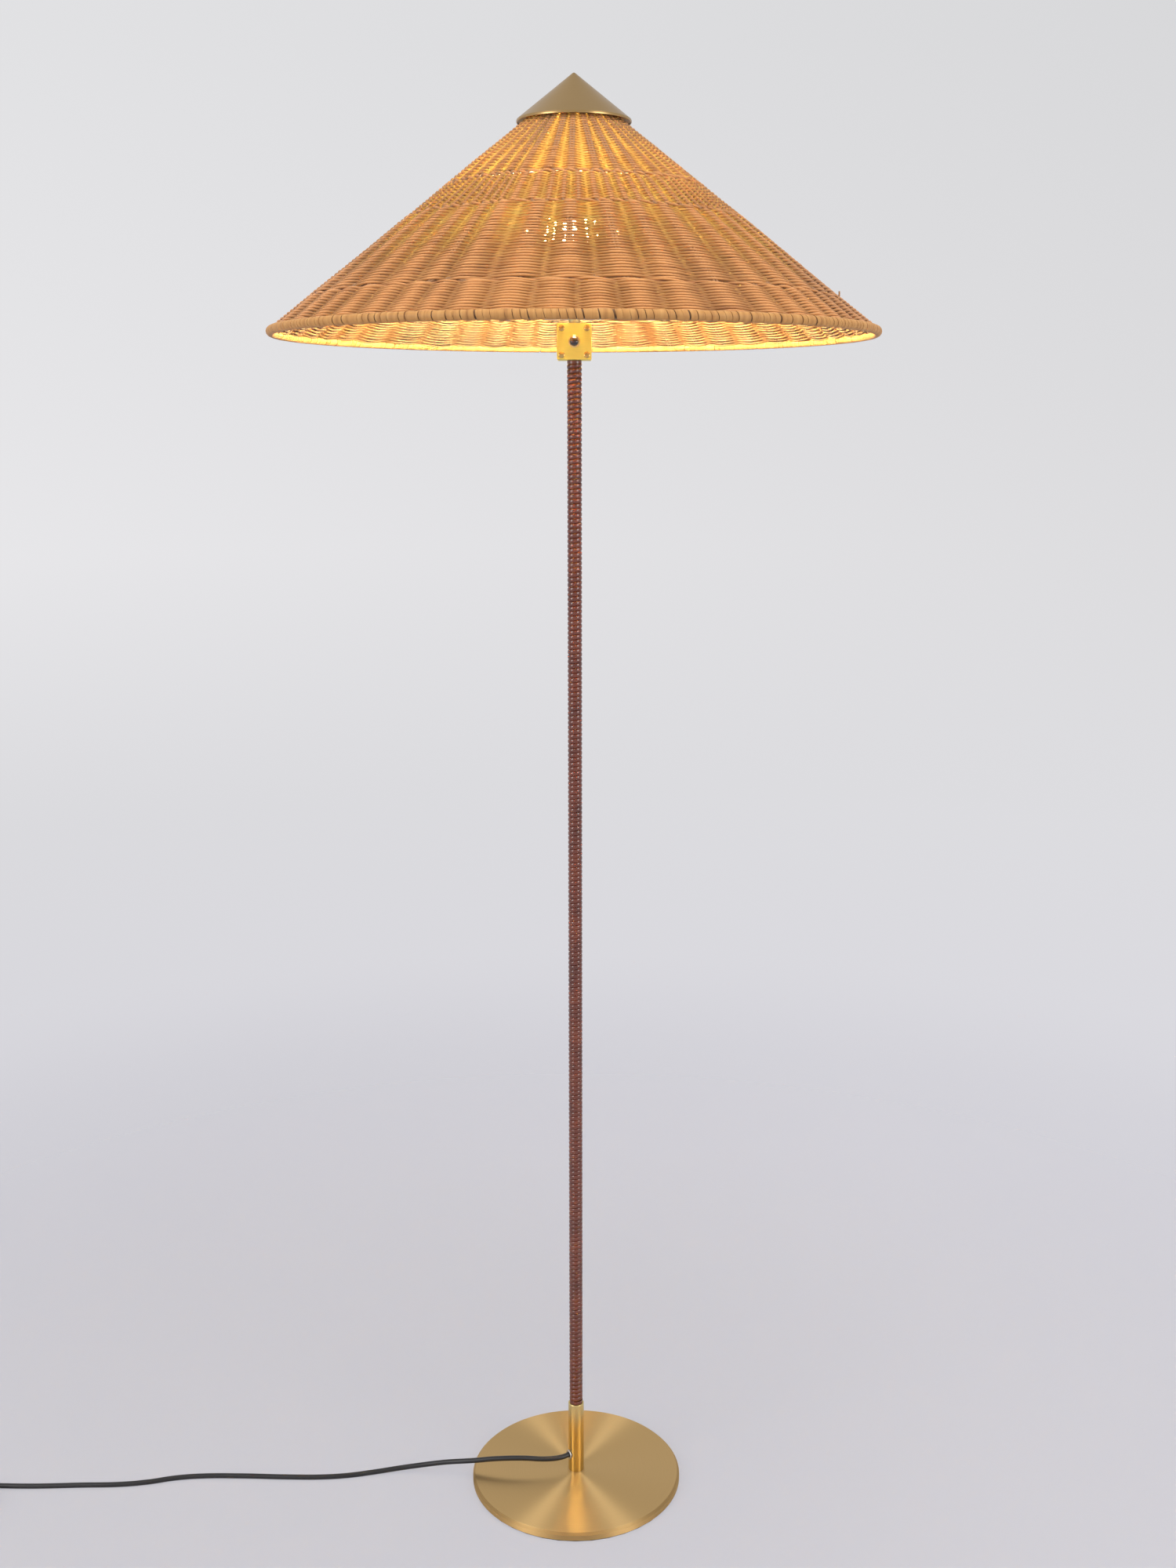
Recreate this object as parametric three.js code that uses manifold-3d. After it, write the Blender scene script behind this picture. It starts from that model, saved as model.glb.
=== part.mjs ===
// Rattan floor lamp: a turned brass base, a stem laced with leather, a push switch in a small brass box,
// and a cone of woven cane that hangs on a wire harp round the bulb, held down by a brass cone on top.
// Millimetres, +Z up. The origin is on the floor under the middle of the base, and the switch faces -Y.
import * as THREE from "three";
import { mergeVertices } from "three/addons/utils/BufferGeometryUtils.js";
import Module from "manifold-3d";

const wasm = await Module();
wasm.setup();

// Clearances that every seat and every fit uses
const seatGap = 0.1;
const fitGap = 0.3;
const cutOver = 1;
const weldDistance = 0.001;

// Base: a steel disc plated in brass, on a thin rubber pad, with a nut in a recess underneath
const baseDiameter = 234.8;
const baseThickness = 8.7;
const baseChamfer = 2.6;
const baseEdgeBreak = 0.6;
const padThickness = 1.2;
const padInset = 1.5;
const recessDiameter = 44;
const recessDepth = 5;
const baseWasherDiameter = 26;
const baseWasherThickness = 1.2;
const baseNutAcross = 14;
const baseNutHeight = 2.8;
const baseNippleLength = 24;
const baseNippleWall = 1.4;

// Stem: a brass tube, with a plain ferrule at its foot and leather lace wound on the rest
const stemDiameter = 11.8;
const stemWall = 1.2;
const ferruleDiameter = 17.5;
const ferruleHeight = 83.7;
const ferruleBreak = 0.8;
const wrapLength = 1143;
const laceThickness = 1.2;
const laceGroove = 0.45;
const laceTurns = 168;
const lacePoints = 8;
const stemNutAcross = 17;
const stemNutHeight = 2.4;
const nutProud = 0.4;

// Switch box: a brass cube on the stem, with a screwed cover that carries the push switch
const boxWidth = 34;
const boxHeight = 34.5;
const boxDepth = 34;
const boxReach = 18;
const boxWall = 1.8;
const boxCorner = 1.4;
const boxInnerCorner = 0.6;
const coverThickness = 2;
const screwSpacingX = 24.8;
const screwSpacingZ = 25.4;
const screwShankDiameter = 3;
const screwShankLength = 11;
const screwHeadDiameter = 6.3;
const screwHeadHeight = 1.5;
const screwSlotWidth = 0.8;
const screwSlotDepth = 0.7;
const screwBossDiameter = 6.4;
const screwBossLength = 14;
const screwTurnsDeg = [42, 96, 18, 71];

// Push switch: a moulded body with a threaded barrel, a hexagonal ring nut and a domed button. Its spring isn't
// modelled, but the space behind the button holds it at its shut length.
const switchWidth = 22;
const switchHeight = 15;
const switchDepth = 16;
const barrelDiameter = 10.8;
const barrelProud = 3.6;
const barrelShoulder = 4.6;
const buttonDiameter = 8.6;
const buttonFlangeDiameter = 9.8;
const buttonFlangeHeight = 1.4;
const buttonProud = 1.6;
const buttonDome = 2.9;
const buttonTravel = 3;
const springShut = 4.6;
const ringNutAcross = 12;
const ringNutHeight = 2.2;

// Neck and lamp holder above the box
const neckDiameter = 11;
const neckHeight = 4.4;
const nippleDiameter = 8;
const nippleWall = 1.2;
const neckNutAcross = 13;
const neckNutHeight = 2.8;
const leadDiameter = 4.4;
const holderDiameter = 39;
const holderHeight = 34;
const holderWall = 0.9;
const holderFootDiameter = 16;
const holderFootHeight = 3;
const insertFloor = 3.4;
const insertDrop = 1.4;

// Bulb: a frosted globe in a screw cap
const bulbDiameter = 60;
const bulbLength = 104;
const bulbGlass = 1;
const bulbNeckDiameter = 24.8;
const bulbCapDiameter = 26.4;
const bulbCapHeight = 25;
const bulbCapWall = 0.5;
const bulbSocketDepth = 6;
const contactDiameter = 9;
const contactHeight = 1.6;

// Harp: a saddle on the neck, two sleeves, and a wire bow with a threaded stud on top
const saddleThickness = 1.5;
const saddleWidth = 14;
const saddleEnd = 5.5;
const harpFootSpread = 49;
const harpPostHeight = 8;
const harpPostDiameter = 3;
const harpWire = 3.2;
const sleeveDiameter = 6;
const sleeveHeight = 15;
const harpHeight = 172.5;
const harpWidth = 94;
const harpSeatDiameter = 12;
const harpSeatHeight = 4;
const studDiameter = 6.2;
const studHeight = 16.5;

// Shade carrier: a hub with three arms and the ring that the cane is tied to
const hubDiameter = 24;
const hubThickness = 2;
const armCount = 3;
const armInset = 1.5;
const ringDiameter = 68;
const ringRise = 15;
const carrierWire = 3.2;
const topWasherDiameter = 17;
const topWasherThickness = 1.2;

// Shade: a cone of woven cane, sewn to a hoop that is bound all round with flat peel
const shadeDiameter = 600;
const shadeSlopeDeg = 38.36;
const weaveThickness = 4.4;
const mouthDiameter = 52;
const bindingDiameter = 9.7;
const bindingThickness = 1.55;
const hoopDiameter = 5.4;

// Top cone: spun brass with a threaded boss inside
const capDiameter = 111.4;
const capSheet = 1.2;
const capBossDiameter = 12;
const capBossLength = 52.9;
const capTipDiameter = 2.4;
const capThreadDepth = 15;

// Cord: black, round, out of the ferrule through a bush, along the floor and coiled for storage
const cordDiameter = 5.6;
const cordExitHeight = 20;
const cordExitDeg = 30;
const bushWall = 0.8;
const bushFlangeDiameter = 10.6;
const bushFlangeThickness = 1.4;
const cordLift = 0.2;
const cordStraight = 20;
const cordSteps = 46;
// The stretch from the exit to the coil, as x, y and height of the cord's middle over its height on the floor
const cordRoute = [
  [-33, -12, 26.3],
  [-60, -8.5, 25],
  [-90, -5, 22],
  [-118, -1.5, 17.2],
  [-150, 4, 11.4],
  [-180, 6.8, 5.6],
  [-205, 6, 2.2],
  [-230, 2.2, 0.3],
  [-260, -4, 0],
  [-290, -7, 0],
  [-332, -6.8, 0],
  [-380, -5, 0],
  [-430, -5.4, 0],
  [-457, -9, 0],
  [-485, -16.2, 0],
  [-513, -20.4, 0],
  [-560, -22, 0],
  [-610, -23.8, 0],
  [-650, -24, 0.6],
];
const coilEntry = [-690, -24];
const coilInnerDiameter = 45.2;
const coilPitch = 6.3;
const coilLayerPitch = 6.2;
const coilLowerTurns = 3.25;
const coilUpperTurns = 3;
const coilStepsPerTurn = 24;
const tailLength = 76;
const tailRunOut = 20;
const tailSteps = 8;
const tieAngleDeg = 330;
const tieWidth = 7;
const tieThickness = 1;
const tieGap = 0.9;
const tieCorner = 2;

// Plug: a flat two-pin plug with a ribbed strain relief
const plugLength = 34;
const plugWidth = 30;
const plugTailWidth = 15;
const plugThickness = 13.6;
const plugEdge = 2.4;
const pinDiameter = 4;
const pinLength = 19;
const pinSpacing = 18.6;
const pinTip = 1;
const reliefLength = 28;
const reliefRootDiameter = 10.4;
const reliefEndDiameter = 7.4;
const reliefRib = 0.5;
const reliefRibs = 4;

// Numbers of faces round the turned pieces
const fineSides = 40;
const capSides = 32;
const tubeSides = 20;
const smallSides = 16;
const wireSides = 6;

const quarterTurn = Math.PI / 2;
const fullTurn = Math.PI * 2;
const shadeSlope = THREE.MathUtils.degToRad(shadeSlopeDeg);

function finish(colour, roughness, metalness) {
  return new THREE.MeshStandardMaterial({ color: colour, roughness, metalness });
}
const brass = () => finish(0xc9a15e, 0.35, 1);
const steel = () => finish(0x9a9a98, 0.4, 1);
const leather = () => finish(0x4a1f18, 0.55, 0);
const cane = () => finish(0xcd9a6a, 0.75, 0);
const blackPlastic = () => finish(0x1d1a1c, 0.35, 0);
const blackRubber = () => finish(0x1a1a1a, 0.8, 0);

function piece(parent, name, geometry, material, place = [0, 0, 0]) {
  const mesh = new THREE.Mesh(geometry, material);
  mesh.name = name;
  mesh.position.set(...place);
  parent.add(mesh);
  return mesh;
}

function group(parent, height) {
  const made = new THREE.Group();
  made.position.z = height;
  parent.add(made);
  return made;
}

function solidOf(geometry) {
  const loose = geometry.index ? geometry.toNonIndexed() : geometry;
  const bare = new THREE.BufferGeometry().setAttribute("position", loose.getAttribute("position"));
  const merged = mergeVertices(bare, weldDistance);
  return new wasm.Manifold(
    new wasm.Mesh({
      numProp: 3,
      vertProperties: merged.getAttribute("position").array,
      triVerts: new Uint32Array(merged.index.array),
    }),
  );
}

function geometryOf(solid) {
  const { vertProperties, triVerts } = solid.getMesh();
  const geometry = new THREE.BufferGeometry();
  geometry.setAttribute("position", new THREE.BufferAttribute(vertProperties, 3));
  geometry.setIndex(new THREE.BufferAttribute(triVerts, 1));
  geometry.computeVertexNormals();
  return geometry;
}

function join(...geometries) {
  return geometryOf(geometries.map(solidOf).reduce((whole, next) => whole.add(next)));
}

function cut(geometry, ...tools) {
  return geometryOf(tools.map(solidOf).reduce((whole, tool) => whole.subtract(tool), solidOf(geometry)));
}

// A profile of [radius, height] points turned about +Z
function turned(profile, sides) {
  const points = profile.map(([radius, height]) => new THREE.Vector2(radius, height));
  return new THREE.LatheGeometry(points, sides).rotateX(quarterTurn);
}

function tube(outer, inner, low, high, sides) {
  return turned([[inner, low], [outer, low], [outer, high], [inner, high], [inner, low]], sides);
}

function rod(radius, low, high, sides) {
  return turned([[0, low], [radius, low], [radius, high], [0, high]], sides);
}

// Turns a piece made along +Z so that it points to the front, -Y
function facingFront(geometry) {
  return geometry.rotateX(quarterTurn);
}

function polygon(radius, sides, startAngle = 0) {
  return Array.from({ length: sides }, (_, i) => {
    const angle = startAngle + (fullTurn * i) / sides;
    return new THREE.Vector2(radius * Math.cos(angle), radius * Math.sin(angle));
  });
}

// A hexagonal nut with its bore along +Z and a corner on the Y axis
function nut(acrossFlats, boreRadius, height) {
  const shape = new THREE.Shape(polygon(acrossFlats / Math.sqrt(3), 6, quarterTurn));
  shape.holes.push(new THREE.Path(polygon(boreRadius, tubeSides).reverse()));
  return new THREE.ExtrudeGeometry(shape, { depth: height, bevelEnabled: false });
}

function roundedRectangle(width, height, corner, low = 0, pen = new THREE.Shape()) {
  const side = width / 2;
  const top = low + height;
  pen.moveTo(-side + corner, low);
  pen.lineTo(side - corner, low);
  pen.absarc(side - corner, low + corner, corner, -quarterTurn, 0);
  pen.lineTo(side, top - corner);
  pen.absarc(side - corner, top - corner, corner, 0, quarterTurn);
  pen.lineTo(-side + corner, top);
  pen.absarc(-side + corner, top - corner, corner, quarterTurn, Math.PI);
  pen.lineTo(-side, low + corner);
  pen.absarc(-side + corner, low + corner, corner, Math.PI, Math.PI + quarterTurn);
  return pen;
}

// A rounded rectangle that stands on low and runs from front to back along Y
function slab(width, height, corner, low, front, back) {
  const shape = roundedRectangle(width, height, corner, low);
  const options = { depth: back - front, bevelEnabled: false, curveSegments: 3 };
  return facingFront(new THREE.ExtrudeGeometry(shape, options)).translate(0, back, 0);
}

function sweep(curve, radius, sides, steps) {
  const section = new THREE.Shape(polygon(radius, sides));
  return new THREE.ExtrudeGeometry(section, { steps, bevelEnabled: false, extrudePath: curve });
}

const lamp = new THREE.Group();
lamp.name = "rattan_floor_lamp";

// Heights of the stack, from the floor up
const discBottom = padThickness + seatGap;
const discTop = discBottom + baseThickness;
const ferruleBottom = discTop + seatGap;
const ferruleTop = ferruleBottom + ferruleHeight;
const wrapBottom = ferruleTop + seatGap;
const boxBottom = wrapBottom + wrapLength + seatGap;
const neckBottom = boxBottom + boxHeight + seatGap;
const saddleBottom = neckBottom + neckHeight + seatGap;
const hubBottom = saddleBottom + harpHeight + seatGap;

// Base
const stemRadius = stemDiameter / 2;
const stemBore = stemRadius - stemWall;
const baseNippleRadius = stemBore - fitGap;
const recessTop = discBottom + recessDepth;
const washerBottom = recessTop - seatGap - baseWasherThickness;
const baseNutBottom = washerBottom - seatGap - baseNutHeight;
const baseNippleBottom = baseNutBottom - nutProud;
const discRadius = baseDiameter / 2;
const discHole = baseNippleRadius + fitGap;

const base = group(lamp, 0);
piece(
  base,
  "base_disc",
  turned(
    [
      [discHole, recessTop],
      [recessDiameter / 2, recessTop],
      [recessDiameter / 2, discBottom],
      [discRadius - baseEdgeBreak, discBottom],
      [discRadius, discBottom + baseEdgeBreak],
      [discRadius, discTop - baseChamfer],
      [discRadius - baseChamfer, discTop],
      [discHole, discTop],
      [discHole, recessTop],
    ],
    fineSides,
  ),
  brass(),
);
piece(
  base,
  "base_pad",
  tube(discRadius - padInset, recessDiameter / 2, 0, padThickness, fineSides),
  blackRubber(),
);
piece(
  base,
  "base_washer",
  tube(baseWasherDiameter / 2, discHole, washerBottom, washerBottom + baseWasherThickness, smallSides),
  steel(),
);
piece(base, "base_nut", nut(baseNutAcross, discHole, baseNutHeight), steel(), [0, 0, baseNutBottom]);
piece(
  base,
  "base_nipple",
  tube(
    baseNippleRadius,
    baseNippleRadius - baseNippleWall,
    baseNippleBottom,
    baseNippleBottom + baseNippleLength,
    tubeSides,
  ),
  steel(),
);

// Stem. The cord's hole goes through the ferrule and the tube behind it, on the left and a little to the front.
const cordRadius = cordDiameter / 2;
const cordExitTurn = THREE.MathUtils.degToRad(cordExitDeg);
const bushBore = cordRadius + fitGap;
const bushNeck = bushBore + bushWall;
const cordHole = bushNeck + fitGap;
const ferruleRadius = ferruleDiameter / 2;
const wrapBore = stemRadius + fitGap;
const cordExitZ = discTop + cordExitHeight;

// Points a piece made along +Z out of the cord's hole
function outOfCordHole(geometry) {
  return geometry.rotateY(-quarterTurn).rotateZ(cordExitTurn).translate(0, 0, cordExitZ);
}
const cordDrill = () => outOfCordHole(rod(cordHole, 0, ferruleRadius + cutOver, smallSides));

const stem = group(lamp, 0);
piece(
  stem,
  "stem_ferrule",
  cut(
    turned(
      [
        [wrapBore, ferruleBottom],
        [ferruleRadius - ferruleBreak, ferruleBottom],
        [ferruleRadius, ferruleBottom + ferruleBreak],
        [ferruleRadius, ferruleTop - ferruleBreak],
        [ferruleRadius - ferruleBreak, ferruleTop],
        [wrapBore, ferruleTop],
        [wrapBore, ferruleBottom],
      ],
      tubeSides,
    ),
    cordDrill(),
  ),
  brass(),
);
const stemTop = boxBottom + boxWall + seatGap + stemNutHeight + nutProud;
piece(
  stem,
  "stem_tube",
  cut(tube(stemRadius, stemBore, ferruleBottom, stemTop, tubeSides), cordDrill()),
  brass(),
);

// The lace lies on the stem as one ridge that winds up it. Its crest and the groove between two turns are each
// a helix, and the ends are trimmed flat.
function laceSleeve() {
  const crest = wrapBore + laceThickness;
  const pitch = wrapLength / (laceTurns - 2);
  const steps = laceTurns * lacePoints;
  const start = -pitch;
  const positions = [];
  for (const [radius, lead] of [[crest, 0], [crest - laceGroove, pitch / 2]])
    for (let i = 0; i <= steps; i++) {
      const angle = (fullTurn * i) / lacePoints;
      const height = start + lead + (pitch * i) / lacePoints;
      positions.push(radius * Math.cos(angle), radius * Math.sin(angle), height);
    }
  const atCrest = (i) => i;
  const inGroove = (i) => steps + 1 + i;
  const footPoint = 2 * (steps + 1);
  const headPoint = footPoint + 1;
  positions.push(0, 0, start);
  positions.push(0, 0, start + pitch * laceTurns);
  const faces = [];
  const quad = (a, b, c, d) => faces.push(a, b, c, a, c, d);
  for (let i = 0; i < steps; i++) quad(atCrest(i), atCrest(i + 1), inGroove(i + 1), inGroove(i));
  for (let i = 0; i + lacePoints < steps; i++) {
    const above = i + lacePoints;
    quad(inGroove(i), inGroove(i + 1), atCrest(above + 1), atCrest(above));
  }
  for (let i = 0; i < lacePoints; i++) {
    faces.push(footPoint, atCrest(i + 1), atCrest(i));
    const last = steps - lacePoints + i;
    faces.push(headPoint, inGroove(last), inGroove(last + 1));
  }
  faces.push(footPoint, inGroove(0), atCrest(lacePoints), footPoint, atCrest(0), inGroove(0));
  faces.push(headPoint, inGroove(steps), atCrest(steps));
  faces.push(headPoint, atCrest(steps), inGroove(steps - lacePoints));
  const ridge = new THREE.BufferGeometry();
  ridge.setAttribute("position", new THREE.Float32BufferAttribute(positions, 3));
  ridge.setIndex(faces);
  const trim = solidOf(tube(crest + cutOver, wrapBore, 0, wrapLength, tubeSides));
  return geometryOf(solidOf(ridge).intersect(trim));
}
piece(stem, "leather_wrap", laceSleeve(), leather(), [0, 0, wrapBottom]);

// The bush is a short tube through both walls, with a flange that follows the ferrule's curve.
const bushEnd = ferruleRadius + bushFlangeThickness;
const bushFlange = cut(
  tube(bushFlangeDiameter / 2, bushBore, stemBore, bushEnd, smallSides).rotateY(-quarterTurn),
  rod(ferruleRadius + seatGap, -bushFlangeDiameter, bushFlangeDiameter, tubeSides),
);
const bushTube = tube(bushNeck, bushBore, stemBore, bushEnd, smallSides).rotateY(-quarterTurn);
piece(
  stem,
  "cord_bush",
  join(bushFlange, bushTube).rotateZ(cordExitTurn).translate(0, 0, cordExitZ),
  finish(0xc8ccd0, 0.15, 0.6),
);

// The lead inside the stem runs from the cord to the switch.
const leadRadius = leadDiameter / 2;
const switchBottom = boxBottom + (boxHeight - switchHeight) / 2;
const switchTop = switchBottom + switchHeight;
piece(
  stem,
  "stem_lead",
  rod(leadRadius, cordExitZ - cordRadius, switchBottom - fitGap, wireSides * 2),
  blackPlastic(),
);
piece(
  stem,
  "stem_nut",
  nut(stemNutAcross, wrapBore, stemNutHeight),
  steel(),
  [0, 0, boxBottom + boxWall + seatGap],
);

// Switch box, its cover and the four cover screws
const coverFace = -boxReach;
const boxFront = coverFace + coverThickness + seatGap;
const boxBack = coverFace + boxDepth;
const screwHole = screwShankDiameter / 2 + fitGap;
const screwPlaces = [];
for (const up of [1, -1])
  for (const side of [-1, 1])
    screwPlaces.push([(side * screwSpacingX) / 2, (boxHeight + up * screwSpacingZ) / 2]);

// A round bar along Y from front to back, at [x, z]
function crossBar([x, z], radius, front, back, sides) {
  return facingFront(rod(radius, 0, back - front, sides)).translate(x, back, z);
}
const screwBores = () =>
  screwPlaces.map((at) => crossBar(at, screwHole, coverFace - cutOver, boxFront + screwShankLength, smallSides / 2));

const nippleRadius = nippleDiameter / 2;
const nippleHole = nippleRadius + fitGap;
const box = group(lamp, boxBottom);
const boxShell = cut(
  slab(boxWidth, boxHeight, boxCorner, 0, boxFront, boxBack),
  slab(
    boxWidth - 2 * boxWall,
    boxHeight - 2 * boxWall,
    boxInnerCorner,
    boxWall,
    boxFront - cutOver,
    boxBack - boxWall,
  ),
);
const boxBosses = screwPlaces.map((at) =>
  crossBar(at, screwBossDiameter / 2, boxFront, boxFront + screwBossLength, smallSides / 2),
);
piece(
  box,
  "switch_box",
  cut(
    join(boxShell, ...boxBosses),
    ...screwBores(),
    rod(wrapBore, -cutOver, boxWall + cutOver, tubeSides),
    rod(nippleHole, boxHeight - boxWall - cutOver, boxHeight + cutOver, tubeSides),
  ),
  brass(),
);
const barrelRadius = barrelDiameter / 2;
const boxMiddle = [0, boxHeight / 2];
piece(
  box,
  "switch_cover",
  cut(
    slab(boxWidth, boxHeight, boxCorner, 0, coverFace, coverFace + coverThickness),
    crossBar(boxMiddle, barrelRadius + fitGap, coverFace - cutOver, boxFront + cutOver, tubeSides),
    ...screwBores(),
  ),
  brass(),
);
screwPlaces.forEach(([x, z], i) => {
  const head = screwHeadDiameter / 2;
  const shank = screwShankDiameter / 2;
  const screw = turned(
    [
      [0, -screwShankLength],
      [shank, -screwShankLength],
      [shank, 0],
      [head, 0],
      [head, screwHeadHeight / 3],
      [head * 0.7, screwHeadHeight * 0.85],
      [0, screwHeadHeight],
    ],
    smallSides / 2,
  );
  const slot = new THREE.BoxGeometry(screwHeadDiameter + cutOver, screwSlotWidth, screwHeadHeight)
    .translate(0, 0, screwHeadHeight * 1.5 - screwSlotDepth)
    .rotateZ(THREE.MathUtils.degToRad(screwTurnsDeg[i]));
  piece(box, `cover_screw_${i + 1}`, facingFront(cut(screw, slot)), brass(), [x, coverFace - seatGap, z]);
});

// Push switch. The button's flange sits behind the barrel's shoulder, where the spring holds it.
const switchPivot = group(box, boxHeight / 2);
const barrelEnd = coverFace - barrelProud;
const shoulder = barrelEnd + barrelProud + barrelShoulder;
const flangeBack = shoulder + seatGap + buttonFlangeHeight;
const chamberEnd = flangeBack + buttonTravel + springShut;
const buttonBore = buttonDiameter / 2 + fitGap;
const chamberBore = buttonFlangeDiameter / 2 + fitGap;
const axis = [0, 0];
piece(
  switchPivot,
  "switch_body",
  cut(
    join(
      slab(switchWidth, switchHeight, boxInnerCorner, -switchHeight / 2, boxFront, boxFront + switchDepth),
      crossBar(axis, barrelRadius, barrelEnd, boxFront + cutOver, tubeSides),
    ),
    crossBar(axis, buttonBore, barrelEnd - cutOver, shoulder + cutOver, tubeSides),
    crossBar(axis, chamberBore, shoulder, chamberEnd, tubeSides),
  ),
  blackPlastic(),
);
piece(
  switchPivot,
  "switch_ring_nut",
  facingFront(nut(ringNutAcross, barrelRadius + fitGap, ringNutHeight)),
  brass(),
  [0, coverFace - seatGap, 0],
);
const buttonRadius = buttonDiameter / 2;
const buttonLength = flangeBack - barrelEnd + buttonProud;
const domeShares = [[1, 0], [0.92, 0.42], [0.7, 0.74], [0.38, 0.94], [0, 1]];
piece(
  switchPivot,
  "switch_button",
  facingFront(
    turned(
      [
        [0, 0],
        [buttonFlangeDiameter / 2, 0],
        [buttonFlangeDiameter / 2, buttonFlangeHeight],
        [buttonRadius, buttonFlangeHeight],
        ...domeShares.map(([out, up]) => [buttonRadius * out, buttonLength + buttonDome * up]),
      ],
      tubeSides,
    ),
  ),
  blackPlastic(),
  [0, flangeBack, 0],
);

// Neck: a threaded nipple through a plain sleeve, nutted inside the box
const neckSleeve = group(lamp, neckBottom);
const holderFloor = neckHeight + 2 * seatGap + saddleThickness + seatGap + holderFootHeight;
const nippleBottom = -seatGap - boxWall - seatGap - neckNutHeight - nutProud;
piece(
  neckSleeve,
  "neck_sleeve",
  tube(neckDiameter / 2, nippleHole, 0, neckHeight, tubeSides),
  brass(),
);
piece(
  neckSleeve,
  "neck_nipple",
  tube(nippleRadius, nippleRadius - nippleWall, nippleBottom, holderFloor, tubeSides),
  steel(),
);
piece(
  neckSleeve,
  "neck_nut",
  nut(neckNutAcross, nippleHole, neckNutHeight),
  steel(),
  [0, 0, -seatGap - boxWall - seatGap - neckNutHeight],
);
piece(
  neckSleeve,
  "neck_lead",
  rod(leadRadius, switchTop + fitGap - neckBottom, holderFloor + holderWall - seatGap, wireSides * 2),
  blackPlastic(),
);

// Harp: the saddle is clamped under the lamp holder
const harp = group(lamp, saddleBottom);
const harpFoot = harpFootSpread / 2;
const saddleLength = harpFootSpread + 2 * saddleEnd;
const saddleShape = roundedRectangle(saddleLength, saddleWidth, saddleEnd, -saddleWidth / 2);
saddleShape.holes.push(new THREE.Path(polygon(nippleHole, tubeSides).reverse()));
const saddleOptions = { depth: saddleThickness, bevelEnabled: false, curveSegments: 4 };
const saddleStrip = new THREE.ExtrudeGeometry(saddleShape, saddleOptions);
const harpPosts = [-harpFoot, harpFoot].map((x) =>
  rod(harpPostDiameter / 2, saddleThickness / 2, saddleThickness + harpPostHeight, smallSides / 2).translate(x, 0, 0),
);
piece(harp, "harp_saddle", join(saddleStrip, ...harpPosts), steel());
for (const [name, x] of [["harp_sleeve_left", -harpFoot], ["harp_sleeve_right", harpFoot]])
  piece(
    harp,
    name,
    tube(
      sleeveDiameter / 2,
      harpWire / 2 + fitGap,
      saddleThickness + seatGap,
      saddleThickness + seatGap + sleeveHeight,
      smallSides,
    ),
    brass(),
    [x, 0, 0],
  );

const harpFootZ = saddleThickness + harpPostHeight + fitGap;
const harpStraightZ = saddleThickness + sleeveHeight + harpWire;
const harpTopZ = harpHeight - harpSeatHeight / 2;
// Half the bow, from its foot to its top, as shares of half its width and of its height
const harpBowShares = [
  [0.7, 0.215],
  [0.93, 0.34],
  [1, 0.47],
  [0.96, 0.61],
  [0.78, 0.78],
  [0.47, 0.925],
  [0.2, 0.985],
];
const harpHalf = [
  [harpFoot, harpFootZ],
  [harpFoot, (harpFootZ + harpStraightZ) / 2],
  [harpFoot, harpStraightZ],
  ...harpBowShares.map(([out, up]) => [(harpWidth / 2) * out, harpTopZ * up]),
];
const harpLine = [
  ...harpHalf.map(([x, z]) => new THREE.Vector3(x, 0, z)),
  new THREE.Vector3(0, 0, harpTopZ),
  ...harpHalf.map(([x, z]) => new THREE.Vector3(-x, 0, z)).reverse(),
];
const harpSteps = 40;
piece(
  harp,
  "harp_bow",
  join(
    sweep(new THREE.CatmullRomCurve3(harpLine), harpWire / 2, wireSides, harpSteps),
    rod(harpSeatDiameter / 2, harpHeight - harpSeatHeight, harpHeight, smallSides),
    rod(studDiameter / 2, harpHeight - harpSeatHeight / 2, harpHeight + studHeight, smallSides),
  ),
  steel(),
);

// Lamp holder: a brass cup with the moulded insert that the bulb screws into
const holder = group(lamp, saddleBottom + saddleThickness + seatGap);
const cupRadius = holderDiameter / 2;
const cupFloor = holderFootHeight + holderWall;
const holderTop = holderFootHeight + holderHeight;
const cupRound = 3;
piece(
  holder,
  "holder_cup",
  turned(
    [
      [nippleHole, 0],
      [holderFootDiameter / 2, 0],
      [holderFootDiameter / 2, holderFootHeight],
      [cupRadius - cupRound, holderFootHeight],
      [cupRadius, holderFootHeight + cupRound],
      [cupRadius, holderTop],
      [cupRadius - holderWall, holderTop],
      [cupRadius - holderWall, cupFloor + cupRound - holderWall],
      [cupRadius - cupRound, cupFloor],
      [nippleHole, cupFloor],
      [nippleHole, 0],
    ],
    tubeSides,
  ),
  brass(),
);
const insertRadius = cupRadius - holderWall - fitGap;
const insertBottom = cupFloor + seatGap;
const insertTop = holderTop - insertDrop;
const bulbBore = bulbCapDiameter / 2 + fitGap;
const bulbBottom = insertBottom + insertFloor + seatGap;
piece(
  holder,
  "holder_insert",
  turned(
    [
      [0, insertBottom],
      [insertRadius - cupRound, insertBottom],
      [insertRadius, insertBottom + cupRound],
      [insertRadius, insertTop],
      [bulbBore, insertTop],
      [bulbBore, insertBottom + insertFloor],
      [0, insertBottom + insertFloor],
    ],
    tubeSides,
  ),
  finish(0xe8e4da, 0.4, 0),
);

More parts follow.
